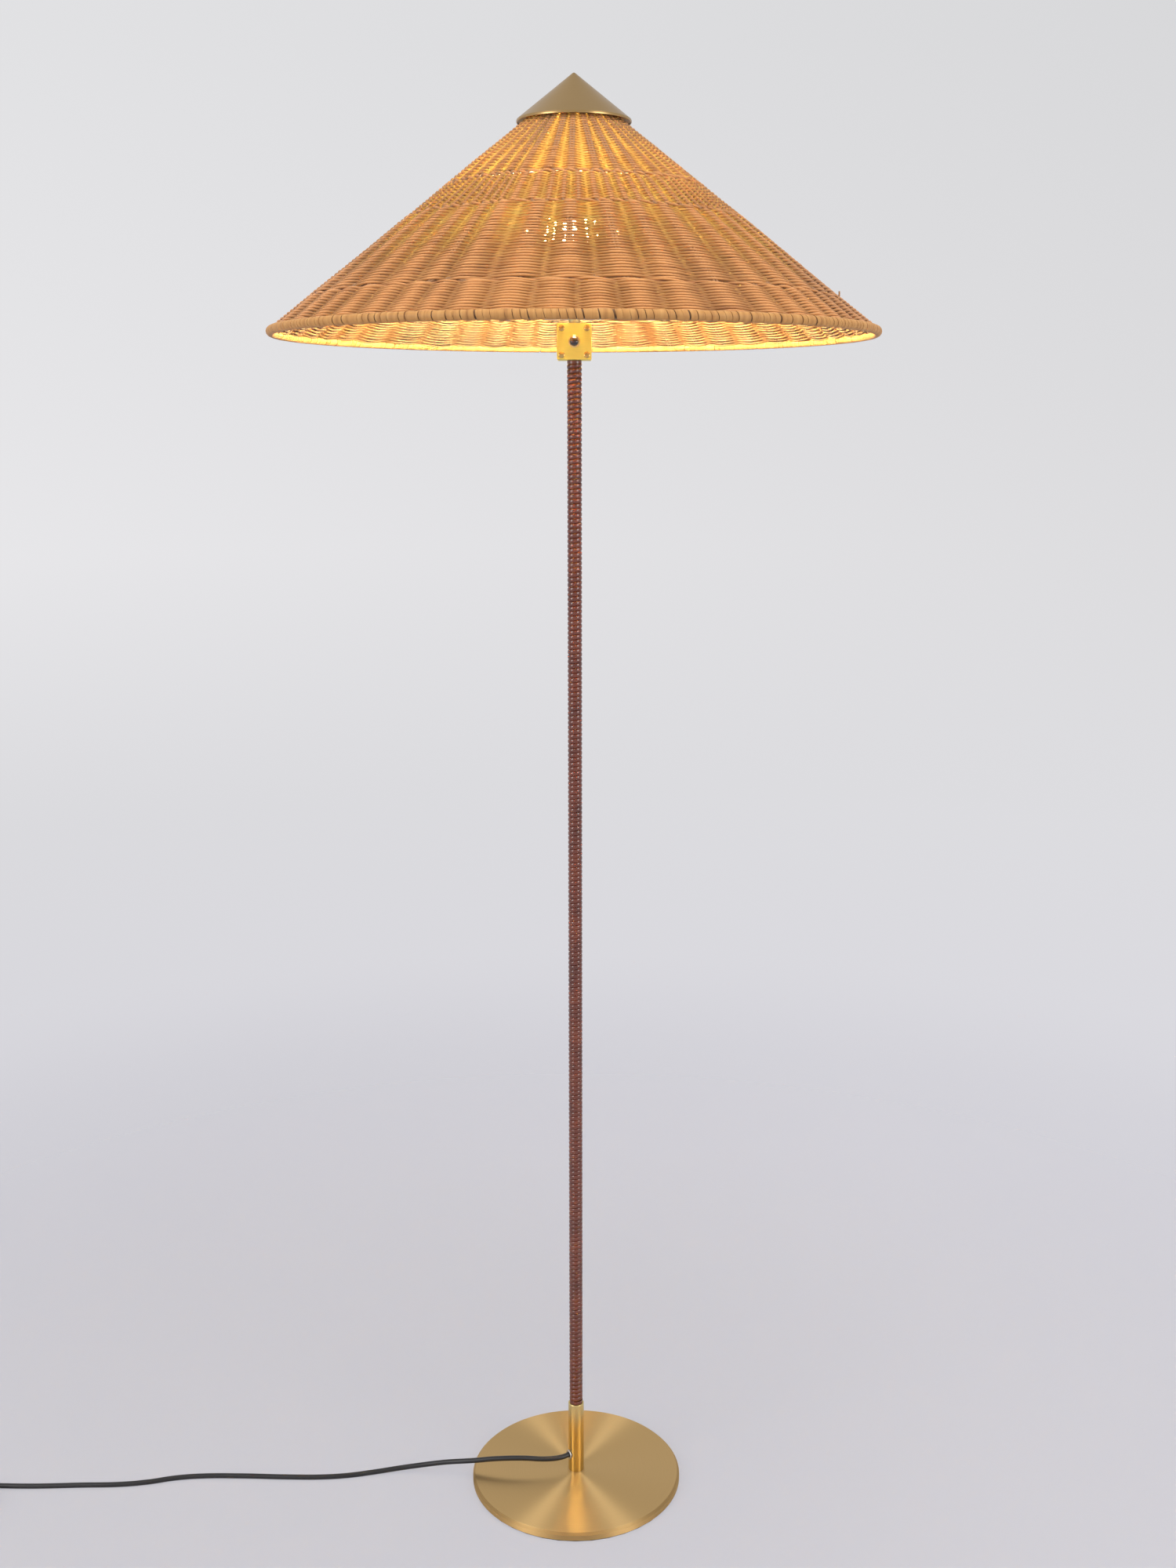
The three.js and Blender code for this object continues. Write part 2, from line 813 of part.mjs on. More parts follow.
// Bulb. The glass ends in a neck that is cemented into the cap.
const bulb = group(holder, bulbBottom);
const capRim = bulbCapDiameter / 2;
const bulbNeck = bulbNeckDiameter / 2;
const socketFloor = bulbCapHeight - bulbSocketDepth;
const contactRiseShare = 0.25;
piece(
  bulb,
  "bulb_cap",
  turned(
    [
      [0, 0],
      [contactDiameter / 2, 0],
      [contactDiameter / 2, contactHeight],
      [capRim, bulbCapHeight * contactRiseShare],
      [capRim, bulbCapHeight],
      [capRim - bulbCapWall, bulbCapHeight],
      [capRim - bulbCapWall, socketFloor],
      [0, socketFloor],
    ],
    tubeSides,
  ),
  finish(0xb8b8b4, 0.35, 1),
);
const globeRadius = bulbDiameter / 2;
const globeMiddle = bulbLength - globeRadius;
// The glass from its neck up to the top of the globe, inset by a thickness
function glassLine(inset) {
  const radius = globeRadius - inset;
  const leaveAngle = THREE.MathUtils.degToRad(-42);
  const leave = new THREE.Vector2(radius * Math.cos(leaveAngle), globeMiddle + radius * Math.sin(leaveAngle));
  const neck = new THREE.Vector2(bulbNeck - inset, bulbCapHeight);
  const pull = (leave.y - neck.y) * 0.45;
  const shoulderCurve = new THREE.CubicBezierCurve(
    neck,
    new THREE.Vector2(neck.x, neck.y + pull),
    new THREE.Vector2(leave.x + pull * Math.sin(leaveAngle), leave.y - pull * Math.cos(leaveAngle)),
    leave,
  );
  const line = shoulderCurve.getPoints(3).map((p) => [p.x, p.y]);
  const arcSteps = 4;
  for (let i = 1; i < arcSteps; i++) {
    const angle = leaveAngle + ((quarterTurn - leaveAngle) * i) / arcSteps;
    line.push([radius * Math.cos(angle), globeMiddle + radius * Math.sin(angle)]);
  }
  line.push([0, globeMiddle + radius]);
  return line;
}
piece(
  bulb,
  "bulb_globe",
  turned(
    [
      ...glassLine(bulbGlass).reverse(),
      [bulbNeck - bulbGlass, socketFloor + fitGap],
      [bulbNeck, socketFloor + fitGap],
      ...glassLine(0),
    ],
    tubeSides,
  ),
  finish(0xfff2d8, 0.4, 0),
);

// Shade. Down the slope and square to it are the two directions that its pieces are set out along.
const shade = group(lamp, hubBottom);
const downSlope = new THREE.Vector2(Math.cos(shadeSlope), -Math.sin(shadeSlope));
const offSlope = new THREE.Vector2(Math.sin(shadeSlope), Math.cos(shadeSlope));
const ringRadius = ringDiameter / 2;
const wireRadius = carrierWire / 2;

// A point of the cane's section: how far down the slope from the ring, and how far out from its underside
function onWeave(down, out) {
  const lift = wireRadius + seatGap + out;
  return new THREE.Vector2(ringRadius, ringRise)
    .addScaledVector(offSlope, lift)
    .addScaledVector(downSlope, down);
}
const middle = weaveThickness / 2;
const rimRadius = (shadeDiameter - bindingDiameter) / 2;
const toRim = (rimRadius - onWeave(0, middle).x) / downSlope.x;
const toMouth = (mouthDiameter / 2 - onWeave(0, 0).x) / downSlope.x;
const rimCentre = onWeave(toRim, middle);
const hoopRadius = hoopDiameter / 2;
const weaveEnd = toRim - hoopRadius - fitGap;

const hub = tube(hubDiameter / 2, studDiameter / 2 + fitGap, 0, hubThickness, tubeSides);
const armStart = new THREE.Vector3(hubDiameter / 2 - armInset, 0, hubThickness / 2);
const armEnd = new THREE.Vector3(ringRadius, 0, ringRise);
const arms = Array.from({ length: armCount }, (_, i) =>
  sweep(new THREE.LineCurve3(armStart, armEnd), wireRadius, wireSides, 1).rotateZ(
    quarterTurn + (fullTurn * i) / armCount,
  ),
);
const ring = new THREE.TorusGeometry(ringRadius, wireRadius, wireSides, capSides).translate(0, 0, ringRise);
piece(shade, "shade_carrier", join(hub, ring, ...arms), steel());

piece(
  shade,
  "rattan_shade",
  turned(
    [
      onWeave(toMouth, 0),
      onWeave(weaveEnd, 0),
      onWeave(weaveEnd, weaveThickness),
      onWeave(toMouth, weaveThickness),
      onWeave(toMouth, 0),
    ].map((p) => [p.x, p.y]),
    fineSides,
  ),
  cane(),
);
piece(
  shade,
  "rim_hoop",
  new THREE.TorusGeometry(rimRadius, hoopRadius, wireSides, fineSides),
  cane(),
  [0, 0, rimCentre.y],
);

// The binding is a tube round the hoop, open along a slot where the cane comes in.
const bindingOuter = bindingDiameter / 2;
const bindingInner = bindingOuter - bindingThickness;
const slotHalf = middle + fitGap;
const slotAngle = Math.PI - shadeSlope;
function bindingArc(radius, segments) {
  const open = Math.asin(slotHalf / radius);
  const sweepAngle = fullTurn - 2 * open;
  return Array.from({ length: segments + 1 }, (_, i) => {
    const angle = slotAngle + open + (sweepAngle * i) / segments;
    return [rimRadius + radius * Math.cos(angle), radius * Math.sin(angle)];
  });
}
const bindingSection = [...bindingArc(bindingOuter, 7), ...bindingArc(bindingInner, 5).reverse()];
piece(
  shade,
  "rim_binding",
  turned([...bindingSection, bindingSection[0]], fineSides),
  cane(),
  [0, 0, rimCentre.y],
);

// Top washer and cone, screwed down on the harp's stud
const washerSeat = hubThickness + seatGap;
const bossBottom = washerSeat + topWasherThickness + seatGap;
const studBore = studDiameter / 2 + fitGap;
piece(
  shade,
  "top_washer",
  tube(topWasherDiameter / 2, studBore, washerSeat, washerSeat + topWasherThickness, tubeSides),
  brass(),
);
const capTop = bossBottom + capBossLength;
const capRadius = capDiameter / 2;
const capTip = capTipDiameter / 2;
const capBoss = capBossDiameter / 2;
const capOuter = (radius) => capTop - radius * Math.tan(shadeSlope);
const capUnder = (radius) => capOuter(radius) - capSheet / Math.cos(shadeSlope);
piece(
  shade,
  "cone_cap",
  turned(
    [
      [0, bossBottom + capThreadDepth],
      [studBore, bossBottom + capThreadDepth],
      [studBore, bossBottom],
      [capBoss, bossBottom],
      [capBoss, capUnder(capBoss)],
      [capRadius, capUnder(capRadius)],
      [capRadius, capOuter(capRadius)],
      [capTip, capOuter(capTip)],
      [0, capOuter(capTip / 2)],
    ],
    capSides,
  ),
  brass(),
);

// Cord. Its first stretch leaves the bush straight, sags to the floor and runs to the coil.
const cordFloor = cordRadius + cordLift;
const exitDirection = new THREE.Vector3(-Math.cos(cordExitTurn), -Math.sin(cordExitTurn), 0);
function fromExit(distance) {
  return new THREE.Vector3(0, 0, cordExitZ).addScaledVector(exitDirection, distance);
}
const coilLower = cordLift + tieThickness + tieGap + cordRadius;
const coilInner = coilInnerDiameter / 2;
const coilOuter = coilInner + coilPitch * coilLowerTurns;
const coilMiddle = new THREE.Vector3(coilEntry[0], coilEntry[1] - coilOuter, 0);
const coilTurns = coilLowerTurns + coilUpperTurns;

// The coil lies in two layers: it winds inwards on the lower one, climbs in half a turn, and winds out again.
function coilPoint(turn) {
  const angle = quarterTurn + fullTurn * turn;
  const radius = coilInner + coilPitch * Math.abs(turn - coilLowerTurns);
  const climbStart = coilLowerTurns - 0.25;
  const climb = THREE.MathUtils.smoothstep(turn, climbStart, climbStart + 0.5);
  return new THREE.Vector3(
    coilMiddle.x + radius * Math.cos(angle),
    coilMiddle.y + radius * Math.sin(angle),
    coilLower + coilLayerPitch * climb,
  );
}
const headLeft = new THREE.Vector3(-1, 0, 0);
const coilEndTurn = quarterTurn + fullTurn * coilTurns;
const leaveCoil = new THREE.Vector3(-Math.sin(coilEndTurn), Math.cos(coilEndTurn), 0);

class CoilCurve extends THREE.Curve {
  getPoint(t) {
    const lead = coilLeadShare;
    if (t < lead) return coilPoint(0).addScaledVector(headLeft, -cordDiameter * (1 - t / lead));
    if (t > 1 - lead) return coilPoint(coilTurns).addScaledVector(leaveCoil, cordDiameter * ((t - 1) / lead + 1));
    return coilPoint((coilTurns * (t - lead)) / (1 - 2 * lead));
  }
}
const coilLength = fullTurn * ((coilInner + coilOuter) / 2) * coilTurns;
const coilLeadShare = cordDiameter / (coilLength + 2 * cordDiameter);

const cord = group(lamp, 0);
const cordGapAtEnds = fitGap;
const cordStart = leadRadius + cordGapAtEnds;
const intoCoil = coilPoint(0).addScaledVector(headLeft, -(cordDiameter + cordGapAtEnds));
const cordLine = new THREE.CatmullRomCurve3([
  fromExit(cordStart),
  fromExit((cordStart + cordStraight) / 2),
  fromExit(cordStraight),
  ...cordRoute.map(([x, y, rise]) => new THREE.Vector3(x, y, cordFloor + rise)),
  intoCoil,
]);
const cordSides = 8;
piece(cord, "power_cord", sweep(cordLine, cordRadius, cordSides, cordSteps), blackRubber());

const coilCurve = new CoilCurve();
coilCurve.arcLengthDivisions = coilTurns * coilStepsPerTurn * 10;
piece(
  cord,
  "cord_coil",
  sweep(coilCurve, cordRadius, wireSides, Math.round(coilTurns * coilStepsPerTurn)),
  blackRubber(),
);

const tailStart = coilPoint(coilTurns).addScaledVector(leaveCoil, cordDiameter + cordGapAtEnds);
const plugAxisZ = cordLift + plugThickness / 2;
const tailEnd = coilPoint(coilTurns).addScaledVector(leaveCoil, tailLength).setZ(plugAxisZ);
const tailLine = new THREE.CatmullRomCurve3([
  tailStart,
  coilPoint(coilTurns).addScaledVector(leaveCoil, tailRunOut),
  tailEnd.clone().addScaledVector(leaveCoil, -tailRunOut),
  tailEnd,
]);
piece(cord, "cord_tail", sweep(tailLine, cordRadius, cordSides, tailSteps), blackRubber());

// The tie is a flat strap round all the turns of the coil.
const tieTurn = THREE.MathUtils.degToRad(tieAngleDeg);
const tiedRadii = [];
for (let turn = (tieTurn - quarterTurn) / fullTurn; turn < coilTurns; turn++)
  tiedRadii.push(coilPoint(turn).setZ(0).distanceTo(coilMiddle));
const tieInner = Math.min(...tiedRadii) - cordRadius - tieGap;
const tieOuter = Math.max(...tiedRadii) + cordRadius + tieGap;
const tieBottom = coilLower - cordRadius - tieGap;
const tieHeight = coilLayerPitch + cordDiameter + 2 * tieGap;
const tieShape = roundedRectangle(
  tieOuter - tieInner + 2 * tieThickness,
  tieHeight + 2 * tieThickness,
  tieCorner,
  tieBottom - tieThickness,
);
const tieHole = roundedRectangle(
  tieOuter - tieInner,
  tieHeight,
  tieCorner - tieThickness,
  tieBottom,
  new THREE.Path(),
);
tieShape.holes.push(tieHole);
const tie = new THREE.ExtrudeGeometry(tieShape, { depth: tieWidth, bevelEnabled: false, curveSegments: 2 });
tie.rotateX(quarterTurn).translate((tieInner + tieOuter) / 2, tieWidth / 2, 0).rotateZ(tieTurn);
piece(cord, "coil_tie", tie, finish(0x202024, 0.9, 0), coilMiddle.toArray());

// Strain relief, plug and pins, in line with the end of the cord
const plug = new THREE.Group();
plug.position.copy(tailEnd).addScaledVector(leaveCoil, cordGapAtEnds);
plug.rotation.z = coilEndTurn;
cord.add(plug);

// Points a piece made along +Z along the cord's own heading, which is +Y in the plug's group
function alongCord(geometry) {
  return geometry.rotateX(-quarterTurn);
}
const reliefProfile = [[0, 0]];
for (let i = 0; i < reliefRibs; i++) {
  const share = i / reliefRibs;
  const radius = THREE.MathUtils.lerp(reliefEndDiameter, reliefRootDiameter, share) / 2;
  const start = reliefLength * share;
  const half = reliefLength / reliefRibs / 2;
  reliefProfile.push([radius, start], [radius, start + half]);
  reliefProfile.push([radius - reliefRib, start + half], [radius - reliefRib, start + 2 * half]);
}
reliefProfile.push([0, reliefLength]);
piece(plug, "plug_strain_relief", alongCord(turned(reliefProfile, smallSides / 2)), blackRubber());

const plugBack = reliefLength + seatGap;
const plugFront = plugBack + plugLength;
const plugShape = new THREE.Shape();
const wide = plugWidth / 2 - plugEdge;
const narrow = plugTailWidth / 2 - plugEdge;
const shoulderShares = [0.3, 0.62];
plugShape.moveTo(-narrow, plugBack + plugEdge);
plugShape.lineTo(narrow, plugBack + plugEdge);
plugShape.bezierCurveTo(
  narrow,
  plugBack + plugLength * shoulderShares[0],
  wide,
  plugBack + plugLength * shoulderShares[0],
  wide,
  plugBack + plugLength * shoulderShares[1],
);
plugShape.lineTo(wide, plugFront - plugEdge);
plugShape.lineTo(-wide, plugFront - plugEdge);
plugShape.lineTo(-wide, plugBack + plugLength * shoulderShares[1]);
plugShape.bezierCurveTo(
  -wide,
  plugBack + plugLength * shoulderShares[0],
  -narrow,
  plugBack + plugLength * shoulderShares[0],
  -narrow,
  plugBack + plugEdge,
);
const plugBody = new THREE.ExtrudeGeometry(plugShape, {
  depth: plugThickness - 2 * plugEdge,
  bevelThickness: plugEdge,
  bevelSize: plugEdge,
  bevelSegments: 2,
  curveSegments: 4,
});
piece(plug, "plug_body", plugBody.translate(0, 0, plugEdge - plugThickness / 2), blackPlastic());
for (const [name, side] of [["plug_pin_left", -1], ["plug_pin_right", 1]])
  piece(
    plug,
    name,
    alongCord(
      turned(
        [
          [0, 0],
          [pinDiameter / 2, 0],
          [pinDiameter / 2, pinLength - pinTip],
          [pinDiameter / 2 - pinTip, pinLength],
          [0, pinLength],
        ],
        smallSides / 2,
      ),
    ),
    finish(0xc9c9c4, 0.25, 1),
    [(side * pinSpacing) / 2, plugFront + seatGap, 0],
  );

// The cord's length from the bush to the plug, and the least clear space between two turns of the coil
function lineLength(points) {
  return points.slice(1).reduce((sum, p, i) => sum + p.distanceTo(points[i]), 0);
}
const fineSteps = 4000;
const coilPoints = coilCurve.getPoints(fineSteps);
const pointsPerTurn = fineSteps / coilTurns;
let leastGap = Infinity;
for (let i = 0; i < coilPoints.length; i += 4)
  for (let j = i + Math.round(pointsPerTurn / 2); j < coilPoints.length; j += 4)
    leastGap = Math.min(leastGap, coilPoints[i].distanceTo(coilPoints[j]) - cordDiameter);
const cordLength =
  lineLength(cordLine.getPoints(fineSteps)) + lineLength(coilPoints) + lineLength(tailLine.getPoints(fineSteps));
console.log(`cord length from the lead to the plug: ${cordLength.toFixed(0)} mm`);
console.log(`least gap between turns of the coil: ${leastGap.toFixed(2)} mm`);

export default lamp;
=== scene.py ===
import math

import bmesh
import bpy
import numpy as np
from mathutils import Matrix, Vector, noise


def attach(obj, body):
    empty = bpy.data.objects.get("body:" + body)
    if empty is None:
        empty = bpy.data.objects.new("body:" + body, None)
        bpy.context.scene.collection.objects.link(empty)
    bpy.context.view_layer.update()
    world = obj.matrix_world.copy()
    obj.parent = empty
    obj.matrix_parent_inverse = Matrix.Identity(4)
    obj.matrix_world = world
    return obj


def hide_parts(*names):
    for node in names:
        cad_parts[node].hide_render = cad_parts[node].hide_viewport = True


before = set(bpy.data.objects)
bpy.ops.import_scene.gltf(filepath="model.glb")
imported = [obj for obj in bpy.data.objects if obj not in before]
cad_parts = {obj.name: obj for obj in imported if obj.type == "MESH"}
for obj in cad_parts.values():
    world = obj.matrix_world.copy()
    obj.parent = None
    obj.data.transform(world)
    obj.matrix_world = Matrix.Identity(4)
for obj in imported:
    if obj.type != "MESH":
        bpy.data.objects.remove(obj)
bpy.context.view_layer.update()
MM = 0.001
TURN = 2 * math.pi
QUARTER = math.pi / 2
scene = bpy.context.scene

# The camera stands 1.7 m in front of the lamp, a little lower than the shade's edge, and looks a little down,
# as in the photograph. The lamp is a little left of the middle of the picture.
PICTURE_HEIGHT_PX = 2000
FOCAL_PX = 2135
SENSOR_MM = 24
CAMERA_AT = (0.0135, -1.709, 1.169)
CAMERA_DOWN_DEG = 11.925

camera_data = bpy.data.cameras.new("camera")
camera_data.sensor_fit = "VERTICAL"
camera_data.sensor_height = SENSOR_MM
camera_data.lens = SENSOR_MM * FOCAL_PX / PICTURE_HEIGHT_PX
camera_data.clip_end = 60
camera = bpy.data.objects.new("camera", camera_data)
camera.location = CAMERA_AT
camera.rotation_euler = (math.radians(90 - CAMERA_DOWN_DEG), 0, 0)
scene.collection.objects.link(camera)
scene.camera = camera


# Cord: 2 m of round black flex. It leaves the ferrule through a clear bush, hangs clear of the base, lies
# along the floor to the left and is wound into a coil in two layers.
def node(made, kind, inputs=(), **settings):
    """Adds a node with its properties and inputs. An input given as another node's socket is linked."""
    new = made.node_tree.nodes.new("ShaderNode" + kind)
    for key, value in settings.items():
        setattr(new, key, value)
    for key, value in dict(inputs).items():
        if isinstance(value, bpy.types.NodeSocket):
            made.node_tree.links.new(value, new.inputs[key])
        else:
            new.inputs[key].default_value = value
    return new

def feed(made, socket, out, target="Principled BSDF"):
    """Links an output to a socket of the material's shader, or of the node named."""
    made.node_tree.links.new(out, made.node_tree.nodes[target].inputs[socket])


def on_piece(made):
    """The piece's own coordinates."""
    return node(made, "TexCoord").outputs["Object"]


def speckle(made, place, scale, detail, roughness=0.5):
    """A noise at the coordinates given."""
    values = {"Vector": place, "Scale": scale, "Detail": detail, "Roughness": roughness}
    return node(made, "TexNoise", values).outputs["Fac"]


def grain(made, scale, detail=4, roughness=0.6, stretch=(1, 1, 1)):
    """A noise on the piece, stretched so that its marks run one way."""
    scaled = node(made, "Mapping", {"Vector": on_piece(made), "Scale": stretch}).outputs[0]
    return speckle(made, scaled, scale, detail, roughness)


def spread(made, value, low, high, start=0.3, end=0.7, **settings):
    """Maps a value to low at start and to high at end. Most of a noise lies between 0.3 and 0.7."""
    inputs = {"Value": value, "From Min": start, "From Max": end, "To Min": low, "To Max": high}
    return node(made, "MapRange", inputs, **settings).outputs["Result"]


def bump(made, height, strength, depth=0.0002):
    new = node(made, "Bump", {"Height": height, "Strength": strength, "Distance": depth})
    feed(made, "Normal", new.outputs[0])


def material(name, colour, roughness, metallic=0.0, uneven=(), marks=(), sockets=()):
    """A material. A grain varies its roughness where uneven gives scale, low and high, and its surface where
    marks give scale, strength and a depth in metres. Other sockets get the values given.
    """
    made = bpy.data.materials.new(name)
    made.use_nodes = True
    values = {"Base Color": (*colour, 1), "Roughness": roughness, "Metallic": metallic, **dict(sockets)}
    for socket, value in values.items():
        made.node_tree.nodes["Principled BSDF"].inputs[socket].default_value = value
    if uneven:
        scale, low, high = uneven
        feed(made, "Roughness", spread(made, grain(made, scale), low, high))
    if marks:
        scale, *strength_and_depth = marks
        bump(made, grain(made, scale), *strength_and_depth)
    return made


black_flex = material("black_flex", (0.011, 0.0105, 0.012), 0.36, uneven=(60, 0.3, 0.42), marks=(900, 0.25))

CORD_MM = 5.6
EXIT_HEIGHT = 30
EXIT_DEG = 30
ON_FLOOR = 3.0
EXIT_REACH = (2.5, 11, 20)
cord_route = [
    (-33, -12, 26.3), (-60, -8.5, 25), (-90, -5, 22), (-118, -1.5, 17.2), (-150, 4, 11.4), (-180, 6.8, 5.6),
    (-205, 6, 2.2), (-230, 2.2, 0.3), (-260, -4, 0), (-290, -7, 0), (-332, -6.8, 0), (-380, -5, 0),
    (-430, -5.4, 0), (-457, -9, 0), (-485, -16.2, 0), (-513, -20.4, 0), (-560, -22, 0), (-610, -23.8, 0),
    (-650, -24, 0.6),
]
COIL_ENTRY = (-690, -24)
COIL_LEAD = 6
COIL_START = 0.25
COIL_INNER = 22.6
COIL_PITCH = 6.3
COIL_LAYER = 6.2
COIL_LOW = 4.9
LOWER_TURNS = 3.25
UPPER_TURNS = 3.0
COIL_STEPS = 24
TAIL_LENGTH = 76
TAIL_RUN_OUT = 20
PLUG_AXIS = 7.0
coil_turns = LOWER_TURNS + UPPER_TURNS
coil_middle = Vector((COIL_ENTRY[0], COIL_ENTRY[1] - COIL_INNER - COIL_PITCH * LOWER_TURNS, 0))


def coil_point(turn):
    """The coil winds in on the floor, climbs a layer in half a turn, and winds out again on top."""
    angle = TURN * (turn + COIL_START)
    radius = COIL_INNER + COIL_PITCH * abs(turn - LOWER_TURNS)
    share = min(max((turn - LOWER_TURNS + 0.25) / 0.5, 0), 1)
    climb = COIL_LAYER * share * share * (3 - 2 * share)
    return coil_middle + Vector((radius * math.cos(angle), radius * math.sin(angle), COIL_LOW + climb))


exit_angle = math.radians(EXIT_DEG)
exit_way = Vector((-math.cos(exit_angle), -math.sin(exit_angle), 0))
exit_point = Vector((0, 0, EXIT_HEIGHT))
line = [exit_point + exit_way * reach for reach in EXIT_REACH]
line += [Vector((x, y, ON_FLOOR + rise)) for x, y, rise in cord_route]
line += [coil_point(0) + Vector((COIL_LEAD, 0, 0))]
line += [coil_point(step / COIL_STEPS) for step in range(round(coil_turns * COIL_STEPS) + 1)]
end_angle = TURN * (coil_turns + COIL_START)
tail_way = Vector((-math.sin(end_angle), math.cos(end_angle), 0))
tail_from = coil_point(coil_turns)
tail_end = tail_from + tail_way * TAIL_LENGTH
tail_end.z = PLUG_AXIS
line += [tail_from + tail_way * TAIL_RUN_OUT, tail_end - tail_way * TAIL_RUN_OUT, tail_end]


def wire(name, splines, radius, sides_level=2, cyclic=False, kind="POLY", radii=None):
    """A curve object whose splines are round bars along the points given, in millimetres."""
    data = bpy.data.curves.new(name, "CURVE")
    data.dimensions = "3D"
    data.bevel_depth = radius * MM
    data.bevel_resolution = sides_level
    data.use_fill_caps = True
    data.resolution_u = 6
    for index, points in enumerate(splines):
        spline = data.splines.new(kind)
        store = spline.bezier_points if kind == "BEZIER" else spline.points
        store.add(len(points) - 1)
        places = np.asarray(points, dtype=float) * MM
        if kind == "BEZIER":
            store.foreach_set("co", places.ravel())
            for point in store:
                point.handle_left_type = "AUTO"
                point.handle_right_type = "AUTO"
        else:
            store.foreach_set("co", np.c_[places, np.ones(len(places))].ravel())
            spline.use_smooth = True
        if radii is not None:
            store.foreach_set("radius", np.asarray(radii[index], dtype=float))
        spline.use_cyclic_u = cyclic
    piece = bpy.data.objects.new(name, data)
    scene.collection.objects.link(piece)
    return piece


def settle(piece, finish, slot, *hides, body="lamp"):
    """Gives a piece its material and its body, and hides the CAD nodes that it stands for. The slot is not
    used.
    """
    piece.data.materials.clear()
    piece.data.materials.append(finish)
    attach(piece, body)
    if hides:
        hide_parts(*hides)
    return piece


flex = wire("flex", [line], CORD_MM / 2, sides_level=5, kind="BEZIER")
settle(flex, black_flex, "cord_rubber", "power_cord", "cord_coil", "cord_tail")


# Plug: a flat two-pin plug in black plastic, moulded with a waist for the fingers, on a ribbed rubber strain
# relief. The pins are the CAD's own, and get a nickel plating.
def shade(piece, smooth_deg):
    """Smooth shading but for the sharp edges, with the large flat faces kept flat."""
    piece.data.shade_smooth()
    piece.data.set_sharp_from_angle(angle=math.radians(smooth_deg))
    even = piece.modifiers.new("even", "WEIGHTED_NORMAL")
    even.keep_sharp = True
    return piece


def into_mesh(name, shape, smooth_deg=35):
    """Turns a bmesh into an object at the origin."""
    data = bpy.data.meshes.new(name)
    shape.to_mesh(data)
    shape.free()
    piece = bpy.data.objects.new(name, data)
    scene.collection.objects.link(piece)
    return shade(piece, smooth_deg)


def chain(shape, points, closed=True):
    """Puts vertices at points in millimetres into a bmesh, with an edge from each to the next."""
    verts = [shape.verts.new([c * MM for c in point]) for point in points]
    edges = [shape.edges.new(pair) for pair in zip(verts, verts[1:] + (verts[:1] if closed else []))]
    return verts, edges


def spun(profile, steps, axis=(0, 0, 1)):
    """A bmesh turned about the Z or Y axis from a profile of (radius, height) in millimetres. A profile that
    starts off the axis is closed into a ring.
    """
    shape = bmesh.new()
    points = [(radius, height * axis[1], height * axis[2]) for radius, height in profile]
    verts, edges = chain(shape, points, closed=profile[0][0] > 0)
    spin = {"cent": (0, 0, 0), "axis": axis, "angle": TURN, "steps": steps, "use_merge": True}
    bmesh.ops.spin(shape, geom=verts + edges, **spin)
    bmesh.ops.remove_doubles(shape, verts=shape.verts, dist=1e-6)
    bmesh.ops.recalc_face_normals(shape, faces=shape.faces)
    return shape


def round_off(shape, edges, width, segments, clamp):
    rules = {"offset_type": "OFFSET", "affect": "EDGES", "profile": 0.5, "material": -1}
    bmesh.ops.bevel(shape, geom=edges, offset=width * MM, segments=segments, clamp_overlap=clamp, **rules)


def soften(shape, width, segments=2, over_deg=40):
    """Rounds every edge that is sharper than the angle given."""
    sharp = [e for e in shape.edges if e.is_manifold and e.calc_face_angle() > math.radians(over_deg)]
    round_off(shape, sharp, width, segments, True)
    return shape


def turn_to(shape, matrix):
    bmesh.ops.transform(shape, matrix=matrix, verts=shape.verts)
    return shape


def shift_new(shape, extruded, way):
    """Moves what an extrusion has made."""
    verts = [v for v in extruded["geom"] if isinstance(v, bmesh.types.BMVert)]
    bmesh.ops.translate(shape, verts=verts, vec=way)


black_gloss = material("black_gloss", (0.016, 0.012, 0.013), 0.16, uneven=(40, 0.12, 0.22), marks=(500, 0.05))

RELIEF_LENGTH = 28
RELIEF_RIBS = 6
RELIEF_RADII = (3.7, 5.2)
RELIEF_GROOVE = 0.6
RELIEF_GAP = 0.3
PLUG_HALF_THICK = 6.8
PLUG_OUTLINE = [(5.2, 0), (5.6, 4), (7.2, 10), (10.8, 15), (13.6, 19), (15, 24), (15, 34)]

plug_start = tail_end + tail_way * RELIEF_GAP
place_plug = Matrix.Translation(plug_start * MM) @ Matrix.Rotation(end_angle, 4, "Z")

relief_profile = [(0, 0)]
half_rib = RELIEF_LENGTH / RELIEF_RIBS / 2
for rib in range(RELIEF_RIBS):
    share = rib / RELIEF_RIBS
    radius = RELIEF_RADII[0] + (RELIEF_RADII[1] - RELIEF_RADII[0]) * share
    groove = radius - RELIEF_GROOVE
    start = RELIEF_LENGTH * share
    relief_profile += [(radius, start), (radius, start + half_rib), (groove, start + half_rib)]
    relief_profile += [(groove, start + 2 * half_rib)]
relief_profile.append((0, RELIEF_LENGTH))
relief = turn_to(soften(spun(relief_profile, 32), 0.2), Matrix.Rotation(-QUARTER, 4, "X"))
relief_piece = into_mesh("relief", turn_to(relief, place_plug))
settle(relief_piece, black_flex, "cord_rubber", "plug_strain_relief")

